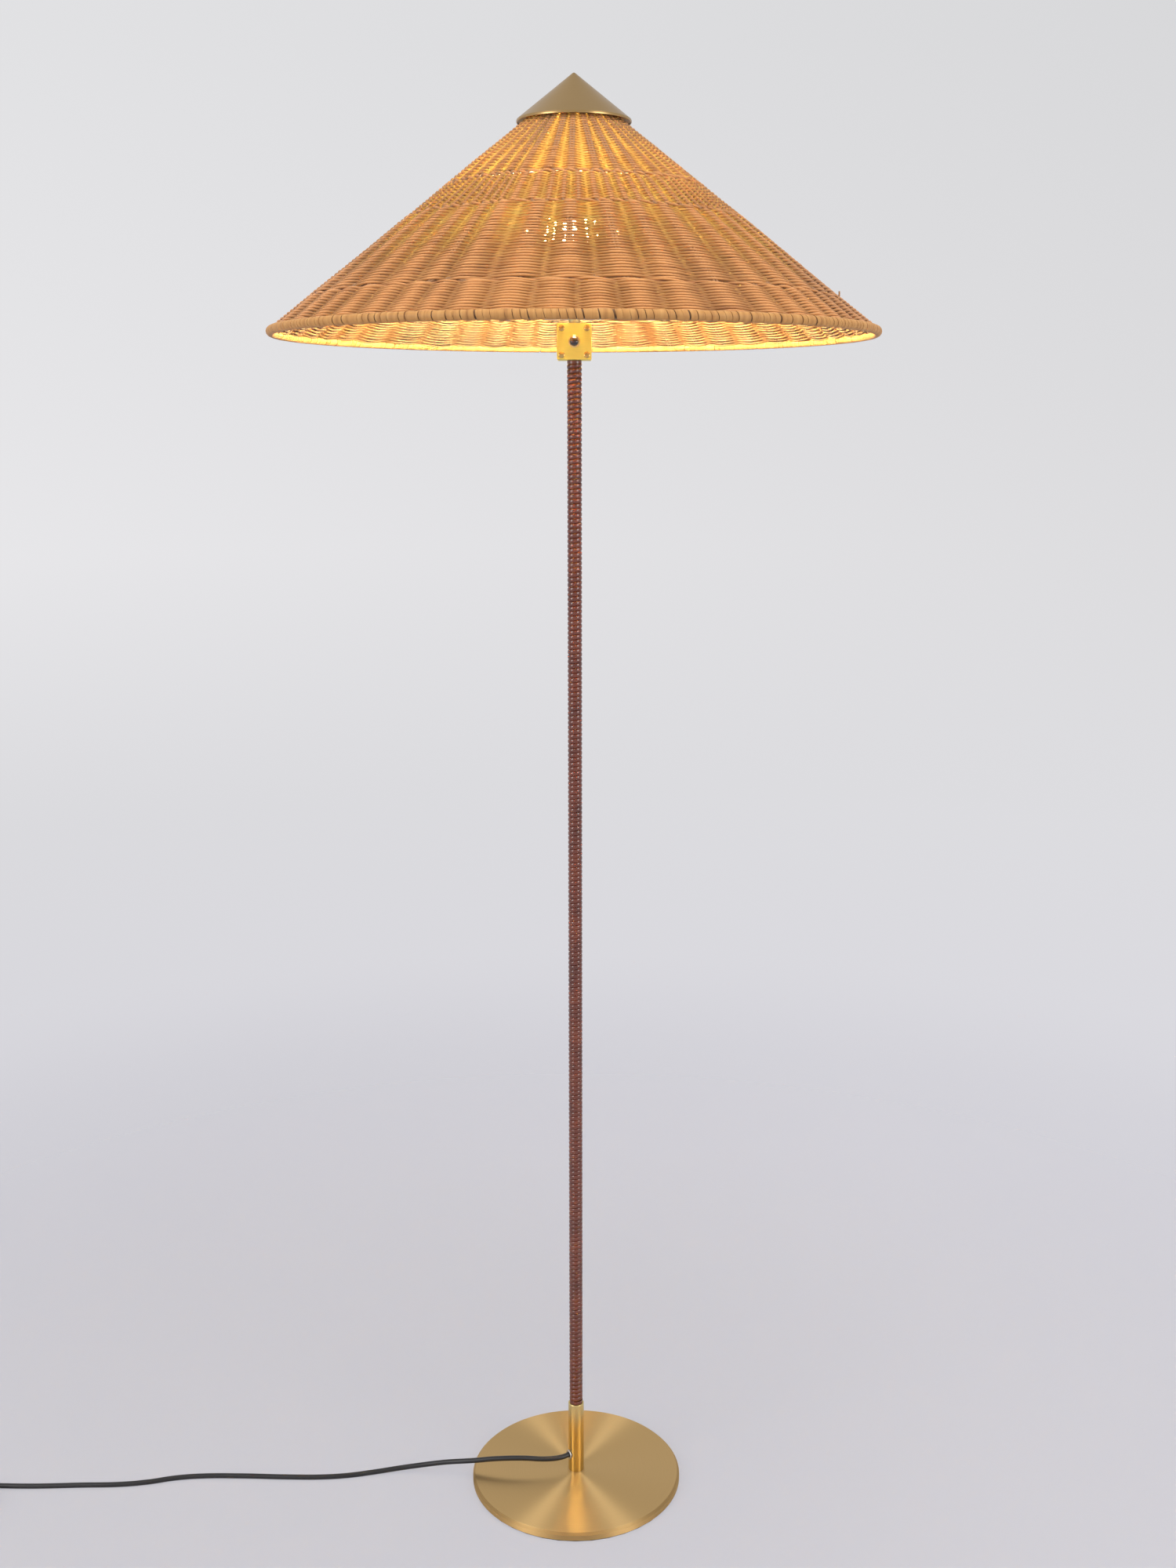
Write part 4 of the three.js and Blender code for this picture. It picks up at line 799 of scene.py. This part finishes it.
# Shade carrier: a steel hub that drops over the stud, three arms bent up from it and the ring that the cane
# is tied to.
HUB_BORE = 3.4
HUB_LOW = 1448.7
HUB_HEIGHT = 2
HUB_RADIUS = 12
RING_RADIUS = 34
RING_RISE = 15
hub = soften(tube(HUB_BORE, HUB_RADIUS, HUB_LOW, HUB_LOW + HUB_HEIGHT, 64), 0.3)
settle(into_mesh("hub", hub), harp_steel, "steel", "shade_carrier")
arm_lines = []
for arm in range(3):
    angle = QUARTER + TURN * arm / 3
    ends = [(HUB_RADIUS - 1.5, 1), (HUB_RADIUS + 2, 2.2), (RING_RADIUS - 3, RING_RISE - 1.8)]
    ends.append((RING_RADIUS, RING_RISE))
    arm_lines.append([(r * math.cos(angle), r * math.sin(angle), HUB_LOW + z) for r, z in ends])
settle(wire("arms", arm_lines, WIRE_RADIUS, 4), harp_steel, "steel")
ring_plan = arc((0, 0), (RING_RADIUS, RING_RADIUS), 0, TURN, 72)[:-1]
carrier_ring = [(x, y, HUB_LOW + RING_RISE) for x, y in ring_plan]
settle(wire("carrier_ring", [carrier_ring], WIRE_RADIUS, 4, cyclic=True), harp_steel, "steel")


# Woven cone: round cane woven over and under pairs of stakes. Between two twined rings about half way down
# the pairs part, and below the last ring extra stakes are let in.
SLOPE = math.radians(38.36)
APEX = 1495.58
MOUTH = 26.5
RIM_RADIUS = 295.15
STAKES = 39
EXTRA_STAKES = 12
ROW = 2.15
SKIRT_ROW = 1.95
CANE_RADIUS = 1.3
STRAND_SIDES = 8
STAKE_RADIUS = 1.6
ARCH = 0.4
SPLIT_FROM = 125
SPLIT_TO = 163
EXTRA_FROM = 258
STRAND_JOINT = 9
WORN_AT = 200


def on_cone(angle, radius, out):
    """A point of the cone by its angle from the front, its radius and how far off the wall's middle it is."""
    angle, radius, out = np.broadcast_arrays(angle, radius, out)
    r = radius + out * np.sin(SLOPE)
    z = APEX - radius * np.tan(SLOPE) + out * np.cos(SLOPE)
    return np.stack([r * np.sin(angle), -r * np.cos(angle), z], axis=-1)


random = np.random.default_rng(7)


def uneven(count, sway):
    """Angles of the stakes, evenly spaced but for a slow sway and a small chance shift, as woven by hand."""
    even = np.arange(count) / count
    shift = 0
    for waves in (5, 8, 13, 17):
        shift = shift + random.uniform(0.3, 1) * np.sin(TURN * (waves * even + random.random())) / waves
    chance = random.normal(0, 0.16, count)
    return TURN * (even + sway * (shift * 2 + chance) / count)


stake_angles = uneven(STAKES, 0.6)
gaps = np.arange(EXTRA_STAKES) * STAKES / EXTRA_STAKES + random.uniform(-0.4, 0.4, EXTRA_STAKES)
gaps = np.round(gaps).astype(int)
closed = np.append(stake_angles, stake_angles[0] + TURN)
extra_angles = (closed[gaps % STAKES] + closed[gaps % STAKES + 1]) / 2
low_angles = np.sort(np.concatenate([stake_angles, extra_angles]))
is_extra = np.isin(low_angles, extra_angles)
for _ in range(3):
    before = np.roll(low_angles, 1)
    before[0] -= TURN
    after = np.roll(low_angles, -1)
    after[-1] += TURN
    low_angles = low_angles * 0.55 + (before + after) / 2 * 0.45


def phase_to_angle(phase, angles):
    """The angle at a place counted in stakes, going on past a full turn."""
    count = len(angles)
    table = np.append(angles, angles[0] + TURN)
    whole = np.floor(phase / count)
    return np.interp(phase - whole * count, np.arange(count + 1), table) + TURN * whole


def lumps(points, size, amount):
    """A slow unevenness in space, so that neighbouring strands move together."""
    seen = [noise.noise(Vector(p) / size) for p in points[::4]]
    return amount * np.interp(np.arange(len(points)), np.arange(len(seen)) * 4, seen)


def weave(name, angles, start, end, steps_per_stake, swing, pairs=1, lanes=1, row=ROW, parts=1):
    """Strands that wind down the cone in whole turns from the back, over one stake and under the next."""
    count = len(angles)
    rows = lanes * round((end - start) / math.cos(SLOPE) / row / lanes)
    row = (end - start) / math.cos(SLOPE) / rows
    strands, thick = [], []
    for lane in range(lanes):
        phase = np.arange(0, rows / lanes * count, 1 / steps_per_stake)
        radius = start + (phase / count * lanes + lane) * row * math.cos(SLOPE)
        angle = phase_to_angle(phase + count // 2, angles)
        wave = np.cos(math.pi * pairs * (phase + (0.25 if pairs == 2 else 0)) + math.pi * lane)
        swell = np.interp(radius, (30, 110, 170), (0.62, 0.85, 1.0))
        flat = on_cone(angle, radius, 0)
        joints = np.arange(0, rows * count + STRAND_JOINT, STRAND_JOINT)
        fat = np.interp(phase, joints, random.normal(1, 0.05, len(joints)))
        from_front = (angle + math.pi) % TURN - math.pi
        worn = np.exp(-((from_front / 0.5) ** 2) - ((radius - WORN_AT) / 25) ** 2)
        fat = fat * (1 - 0.33 * worn * random.uniform(0.1, 1, len(phase)))
        radius = radius - ARCH * swell * wave + lumps(flat, 38, 1.1) + lumps(flat, 9, 0.35)
        out = swing * swell * wave + lumps(flat + 500, 70, 0.9) + lumps(flat + 900, 14, 0.25)
        strands.append(on_cone(angle, radius, out))
        thick.append(fat)
    if parts == 1:
        return [wire(name, strands, CANE_RADIUS, 2, radii=thick)]
    cuts = [round(len(strands[0]) * share / parts) for share in range(parts + 1)]
    pieces = []
    for number, (first, last) in enumerate(zip(cuts, cuts[1:]), 1):
        piece = [strand[first : last + 1] for strand in strands]
        radii = [t[first : last + 1] for t in thick]
        pieces.append(wire(f"{name}_{number}", piece, CANE_RADIUS, 2, radii=radii))
    return pieces


def mark_clear(piece, angles, parted=False):
    """Stores how clear of the stakes each point is, from 0 at a stake to 1 between two, where light comes
    through, and how far up its strand it lies, because light comes through the crest and not the sides.
    """
    count = len(piece.data.vertices)
    places = np.empty(count * 3)
    piece.data.vertices.foreach_get("co", places)
    rings = places.reshape(-1, STRAND_SIDES, 3)
    middles = rings.mean(axis=1, keepdims=True)
    away = np.hypot(middles[..., 0], middles[..., 1])
    rise = (rings - middles) @ np.array((0, 0, math.cos(SLOPE)))
    rise += np.sum((rings - middles)[..., :2] * middles[..., :2], axis=2) / away * math.sin(SLOPE)
    crest = np.abs(rise) / np.linalg.norm(rings - middles, axis=2)
    piece.data.attributes.new("crest", "FLOAT", "POINT").data.foreach_set("value", crest.ravel())
    places = places.reshape(count, 3)
    around = (np.arctan2(places[:, 0], -places[:, 1]) - angles[0]) % TURN + angles[0]
    phase = np.interp(around, np.append(angles, angles[0] + TURN), np.arange(len(angles) + 1))
    clear = 0.5 + 0.5 * np.cos(TURN * 2 * phase) if parted else 0.5 - 0.5 * np.cos(TURN * phase)
    piece.data.attributes.new("clear", "FLOAT", "POINT").data.foreach_set("value", clear)
    return piece


def maths(made, operation, *values):
    return node(made, "Math", dict(enumerate(values)), operation=operation).outputs[0]


def mixed(made, share, first, second):
    """A shader between two others."""
    return node(made, "MixShader", {0: share, 1: first, 2: second}).outputs[0]


def cane_finish(name, light, dark, warm, row_scale):
    """Split cane: each strand has its own tone and a fine grain, and it lets some light through. Its inner
    side has painted light, pale near the bulb and dark low down; the hollows between strands get painted
    shade.
    """
    sockets = {"Specular IOR Level": 0.3, "Sheen Weight": 0.1, "Sheen Roughness": 0.5}
    made = material(name, light, 0.52, sockets=sockets)
    x, y, z = xyz(made)
    out = off_axis(made)
    along = maths(made, "MULTIPLY", maths(made, "ARCTAN2", y, x), 3.0)
    down = maths(made, "MULTIPLY", out, row_scale)
    strand = node(made, "CombineXYZ", {"X": along, "Y": down}).outputs[0]
    tone = speckle(made, strand, 1, 2, 0.8)
    fibre = grain(made, 700, 4, 0.7)
    toned = maths(made, "MULTIPLY_ADD", fibre, 0.25, maths(made, "MULTIPLY", tone, 0.75))
    colour = ramp(made, toned, (0.3, dark), (0.47, light), (0.6, light), (0.78, warm))

    # How far a point stands off the middle of the wall, in metres
    proud = maths(made, "MULTIPLY_ADD", z, math.cos(SLOPE), maths(made, "MULTIPLY", out, math.sin(SLOPE)))
    off = maths(made, "SUBTRACT", proud, APEX * math.cos(SLOPE) * MM)
    # Painted light on the inner side: pale near the bulb and dark farther down the wall, mixed in where the
    # strand lies inside the wall's middle.
    painted_light_falloff = spread(made, out, 0, 1, 0.16, 0.27)
    inner = ramp(made, painted_light_falloff, (0, (0.85, 0.57, 0.2)), (0.7, (0.105, 0.085, 0.054)), (1, (0.14, 0.11, 0.07)))
    sides = {"Factor": spread(made, off, 0.0, 0.85, 0.0004, -0.0028), "A": colour, "B": inner}
    sides = node(made, "Mix", sides, data_type="RGBA").outputs["Result"]
    # Painted shade in the hollows between the strands, darkest at the wall's middle; the crests are a touch
    # lighter.
    painted_shade_level = spread(made, off, 0, 1, -0.0032, 0.0032)
    top = (1.05,) * 3
    hollow = ramp(made, painted_shade_level, (0.06, top), (0.4, (0.48, 0.38, 0.29)), (0.62, (0.57, 0.5, 0.43)), (0.94, top))
    feed(made, "Base Color", vector_maths(made, "MULTIPLY", sides, hollow))
    bump(made, fibre, 0.3, 0.0003)

    # Light comes through where the strand is thin and clear of the stakes, and less where the weave is tight.
    honey = ramp(made, tone, (0.35, (1.0, 0.8, 0.4)), (0.6, (1.0, 0.9, 0.52)))
    glow = node(made, "BsdfTranslucent", {"Color": honey}).outputs[0]
    clear = node(made, "Attribute", attribute_name="clear").outputs["Fac"]
    crest = node(made, "Attribute", attribute_name="crest").outputs["Fac"]
    tight = spread(made, out, 0, 1, 0, 0.3)
    tight = ramp(made, tight, (0.1, (0.6,) * 3), (0.4, (1,) * 3), (0.6, (0.95,) * 3), (0.83, (0.3,) * 3))
    share = spread(made, clear, 0.04, 0.95, 0.12, 0.55)
    for part in (spread(made, grain(made, 14, 2), 0.7, 1.2), tight, spread(made, crest, 0, 1, 0.2, 0.8)):
        share = maths(made, "MULTIPLY", share, part)
    face = made.node_tree.nodes["Principled BSDF"].outputs[0]
    feed(made, "Surface", mixed(made, share, face, glow), "Material Output")
    return made


cane = cane_finish("cane", (0.64, 0.29, 0.095), (0.38, 0.15, 0.045), (0.76, 0.4, 0.15), 420)
stake_cane = cane_finish("stake_cane", (0.40, 0.215, 0.10), (0.26, 0.125, 0.06), (0.5, 0.28, 0.14), 30)

BESIDE = 1.25
bands = weave("cane_upper", stake_angles, MOUTH + 1, SPLIT_FROM - BESIDE, 5, 1.55)
bands += weave("cane_parted", stake_angles, SPLIT_FROM + BESIDE, SPLIT_TO - BESIDE, 10, 1.5, pairs=2, lanes=2)
bands += weave("cane_main", stake_angles, SPLIT_TO + BESIDE, EXTRA_FROM - BESIDE, 7, 1.8, parts=2)
bands += weave("cane_skirt", low_angles, EXTRA_FROM + BESIDE, RIM_RADIUS - 2, 6, 1.9, row=SKIRT_ROW)
settle(mark_clear(to_mesh(bands[0]), stake_angles), cane, "cane", "rattan_shade")
for band in bands[1:]:
    angles = low_angles if band is bands[-1] else stake_angles
    settle(mark_clear(to_mesh(band), angles, parted=band is bands[1]), cane, "cane")

twined = []
for ring_radius, angles, pairs in (
    (SPLIT_FROM, stake_angles, 2),
    (SPLIT_TO, stake_angles, 2),
    (EXTRA_FROM, low_angles, 1),
):
    count = len(angles)
    phase = np.arange(0, count, 1 / 12)
    angle = phase_to_angle(phase, angles)
    for lane in (0, math.pi):
        twist = math.pi * pairs * phase + lane
        if count * pairs % 2:
            twist = math.pi * (count + 1) / count * phase + lane
        flat = on_cone(angle, ring_radius, 0)
        wound = ((phase - count // 2) / count) % 1
        radius = ring_radius + ROW * math.cos(SLOPE) * (wound - 0.5)
        radius = radius + 1.1 * np.sin(twist) + lumps(flat, 38, 1.1)
        twined.append(on_cone(angle, radius, 1.5 * np.cos(twist) + lumps(flat + 500, 70, 0.9)))
settle(to_mesh(wire("cane_twined", twined, CANE_RADIUS * 0.95, 2, cyclic=True)), cane, "cane")

stakes = []
low_of = np.flatnonzero(~is_extra)
STAKE_AT = (MOUTH, 60, 100, 118, 127, 144, 161, 170, 200, 240, 254, 264, 280, RIM_RADIUS - 1)
for index in range(STAKES):
    for side in (-1, 1):
        stake = []
        parts_at = phase_to_angle(np.array([index + side * 0.25 + STAKES]), stake_angles)[0] - TURN
        for radius in STAKE_AT:
            apart = min(1.5 / radius, 0.05)
            angle = stake_angles[index] + side * apart
            if SPLIT_FROM <= radius <= SPLIT_TO:
                angle = parts_at
            if radius > EXTRA_FROM:
                angle = low_angles[low_of[index]] + side * apart
            stake.append(on_cone(angle, radius, 0))
        stakes.append(stake)
for angle in low_angles[is_extra]:
    for side in (-1, 1):
        stakes.append([on_cone(angle + side * 0.005, r, 0) for r in (EXTRA_FROM - 5, 270, RIM_RADIUS - 1)])
settle(to_mesh(wire("cane_stakes", stakes, STAKE_RADIUS, 2)), stake_cane, "cane")

# The two cut ends of an extra stake stand up on the right.
END_ANGLE_DEG = 84
tips = []
for lean in (0.0, 0.014):
    foot = on_cone(math.radians(END_ANGLE_DEG) + lean, EXTRA_FROM - 1, 1.2)
    bend = foot + np.array([0.3, 0, 4.0])
    tips.append([foot, bend, foot + np.array([0.2 + 25 * lean, 0.3, 7.6 - 60 * lean])])
settle(to_mesh(wire("cane_ends", tips, 0.8, 2)), stake_cane, "cane")


# Edge: a hoop of round cane, bound all round with flat peel. The turns lie close, each a little aslant, and
# here and there they part.
HOOP_RADIUS = 2.7
BINDING_RADIUS = 4.3
PEEL_TURNS = 292
PEEL_THICK = 0.5
rim_height = APEX - RIM_RADIUS * math.tan(SLOPE)
hoop_ring = [on_cone(TURN * step / 240, RIM_RADIUS, 0) for step in range(240)]
hoop = to_mesh(wire("hoop", [hoop_ring], HOOP_RADIUS, 3, cyclic=True))
settle(hoop, stake_cane, "cane", "rim_hoop")
# The packing under the peel is coloured very dark: painted shade for the gaps where the turns part.
packing = to_mesh(wire("packing", [hoop_ring], BINDING_RADIUS - 0.35, 3, cyclic=True))
packing_painted_shade = cane_finish("packing_painted_shade", (0.16, 0.075, 0.03), (0.09, 0.04, 0.018), (0.22, 0.11, 0.05), 30)
settle(packing, packing_painted_shade, "cane")

# The tone changes about once a turn, and the fibres are nine times finer.
TONES_PER_RADIAN = 46.5
FINER = (9, 9, 9)
peel = material("peel", (0.53, 0.26, 0.082), 0.55, sockets={"Specular IOR Level": 0.3})
x, y, z = xyz(peel)
turned_to = maths(peel, "MULTIPLY", maths(peel, "ARCTAN2", y, x), TONES_PER_RADIAN)
stripe = node(peel, "CombineXYZ", {"X": turned_to}).outputs[0]
fibres = speckle(peel, vector_maths(peel, "MULTIPLY", stripe, FINER), 1, 3, 0.8)
toned = maths(peel, "MULTIPLY_ADD", fibres, 0.4, maths(peel, "MULTIPLY", speckle(peel, stripe, 1, 1), 0.6))
peel_stops = ((0.32, (0.33, 0.14, 0.045)), (0.5, (0.53, 0.26, 0.082)), (0.72, (0.65, 0.36, 0.13)))
feed(peel, "Base Color", ramp(peel, toned, *peel_stops))
bump(peel, fibres, 0.35, 0.0003)

# Across the peel, as shares of its width, and out from the packing as shares of its thickness
PEEL_SECTION = [(-0.5, 0), (-0.49, 0.8), (-0.45, 1), (0.45, 1), (0.49, 0.8), (0.5, 0)]
PEEL_SUNK = 0.3
peel_width = TURN * RIM_RADIUS / PEEL_TURNS
peel_profile = []
for across, up in PEEL_SECTION:
    peel_profile.append((BINDING_RADIUS + PEEL_THICK * up - PEEL_SUNK, across * peel_width))
one_turn = spun(peel_profile, 14, axis=(0, 1, 0))
turn_mesh = bpy.data.meshes.new("peel_turn")
one_turn.to_mesh(turn_mesh)
one_turn.free()
binding = bmesh.new()
turn_size = len(turn_mesh.vertices)
lean_now = 0.0
for index in range(PEEL_TURNS):
    lean_now = 0.75 * lean_now + random.normal(0, 0.035)
    width = random.normal(0.955, 0.02) - (0.09 if index % 7 == 3 else 0)
    binding.from_mesh(turn_mesh)
    binding.verts.ensure_lookup_table()
    new_verts = binding.verts[-turn_size:]
    turned = Matrix.Rotation(TURN * (index + random.normal(0, 0.05)) / PEEL_TURNS, 4, "Z")
    shifted = Matrix.Translation((RIM_RADIUS * MM, 0, rim_height * MM))
    aslant = -math.tan(0.2 + lean_now)
    leaning = Matrix(((1, 0, 0, 0), (0, 1, aslant, 0), (0, 0, 1, 0), (0, 0, 0, 1)))
    sized = Matrix.Diagonal((random.normal(1.0, 0.006), width, random.normal(1.0, 0.006), 1))
    bmesh.ops.transform(binding, matrix=turned @ shifted @ leaning @ sized, verts=new_verts)
settle(into_mesh("peel_binding", binding, 50), peel, "cane", "rim_binding")


# Top: a cone of spun brass with its edge turned in. Its boss screws down on the stud, and a brass washer lies
# under the boss.
SPUN_RADIUS = 55.7
SPUN_APEX = 1505.0
SHEET = 1.2
BOSS_RADIUS = 6
cap_brass = brass("cap_brass", (0.46, 0.3, 0.125), 0.33, 0.03, rings=1100, gleam=0.4)


def cap_height(radius, drop=0.0):
    return SPUN_APEX - radius * math.tan(SLOPE) - drop


under = SHEET / math.cos(SLOPE)
cap_profile = [(0, 1467.1), (HUB_BORE, 1467.1), (HUB_BORE, 1452.1), (BOSS_RADIUS, 1452.1)]
cap_profile += [(radius, cap_height(radius, under)) for radius in (BOSS_RADIUS, SPUN_RADIUS - 1.2)]
cap_profile += [(SPUN_RADIUS - 0.9, 1458.6), (SPUN_RADIUS - 0.2, 1458.9), (SPUN_RADIUS, 1460.0)]
cap_profile += [(radius, cap_height(radius)) for radius in (SPUN_RADIUS - 0.3, 44, 30, 16, 6, 1.4)]
cap_profile += [(0.7, cap_height(1.0)), (0, cap_height(0.7))]
settle(into_mesh("cap", spun(cap_profile, 192), 24), cap_brass, "brass", "cone_cap")
washer = into_mesh("washer", soften(tube(HUB_BORE, 8.5, 1450.8, 1452, 64), 0.25))
settle(washer, stem_brass, "brass", "top_washer")


# Set: a pale floor that fades into a pale background, which is a little darker low down and on the right, and
# soft lights at both sides and above.
FLOOR_SIZE = 9.0
AMBIENT = 0.53
LIGHT_WATTS = 31
backdrop = [
    (0.0, (0.63, 0.622, 0.672)),
    (0.17, (0.642, 0.63, 0.684)),
    (0.3, (0.692, 0.686, 0.728)),
    (0.45, (0.716, 0.713, 0.738)),
    (0.6, (0.763, 0.758, 0.776)),
    (0.9, (0.723, 0.723, 0.738)),
]


def scaled(made, colour, factor):
    """A colour made brighter or darker."""
    return node(made, "VectorMath", {0: colour, "Scale": factor}, operation="SCALE").outputs[0]


floor_paint = material("floor_paint", (0.6, 0.595, 0.635), 0.9, sockets={"Specular IOR Level": 0.1})
x, y, z = xyz(floor_paint)
# Seen by the camera, the floor is mostly painted light: a glow of its colour, a little brighter towards the
# back and the right, over some of its lit colour, so its shadows stay faint.
painted_floor_falloff = spread(floor_paint, x, 0.95, 1.03, -0.6, 0.5)
painted_floor_falloff = maths(floor_paint, "MULTIPLY", painted_floor_falloff, spread(floor_paint, y, 0.98, 1.11, -0.3, 0.9))
plain = node(floor_paint, "Emission", {"Color": scaled(floor_paint, (0.595, 0.59, 0.648), painted_floor_falloff)})
path = node(floor_paint, "LightPath").outputs
seen = maths(floor_paint, "MULTIPLY", path["Is Camera Ray"], 0.7)
lit = floor_paint.node_tree.nodes["Principled BSDF"].outputs[0]
fade = spread(floor_paint, off_axis(floor_paint), 0.0, 1.0, 0.7, 2.0, interpolation_type="SMOOTHSTEP")
clear = node(floor_paint, "BsdfTransparent").outputs[0]
faded = mixed(floor_paint, fade, mixed(floor_paint, seen, lit, plain.outputs[0]), clear)
feed(floor_paint, "Surface", faded, "Material Output")
floor_shape = bmesh.new()
bmesh.ops.create_grid(floor_shape, x_segments=1, y_segments=1, size=FLOOR_SIZE / 2)
floor = into_mesh("floor", floor_shape)
floor.data.materials.append(floor_paint)

world = bpy.data.worlds.new("studio")
scene.world = world
world.use_nodes = True
facing = node(world, "TexCoord").outputs["Generated"]
x, y, z = node(world, "SeparateXYZ", {0: facing}).outputs
tint = ramp(world, spread(world, z, 0, 1, -0.62, 0.3), *backdrop)
lift = spread(world, z, -0.25, 1, -0.22, -0.07)
slanted = maths(world, "MULTIPLY_ADD", spread(world, x, 0.05, -0.05, -0.34, 0.34), lift, 1.0)
feed(world, "Color", scaled(world, tint, slanted), "Background")
path = node(world, "LightPath").outputs
seen = maths(world, "MAXIMUM", path["Is Camera Ray"], path["Is Glossy Ray"])
feed(world, "Strength", spread(world, seen, AMBIENT, 1.0, 0, 1), "Background")


def soft_light(name, place, target, width, height):
    data = bpy.data.lights.new(name, "AREA")
    data.shape = "RECTANGLE"
    data.size = width
    data.size_y = height
    data.energy = LIGHT_WATTS
    light = bpy.data.objects.new(name, data)
    light.location = place
    light.rotation_euler = (Vector(target) - Vector(place)).to_track_quat("-Z", "Y").to_euler()
    scene.collection.objects.link(light)
    return light


for name, side in (("left", -1.9), ("right", 1.9)):
    soft_light(name, (side, -1.5, 1.5), (0, 0, 0.85), 1.0, 1.9)
soft_light("above", (0, -0.5, 3.1), (0, 0, 1.0), 1.6, 1.0).visible_glossy = False

scene.view_settings.view_transform = "Standard"
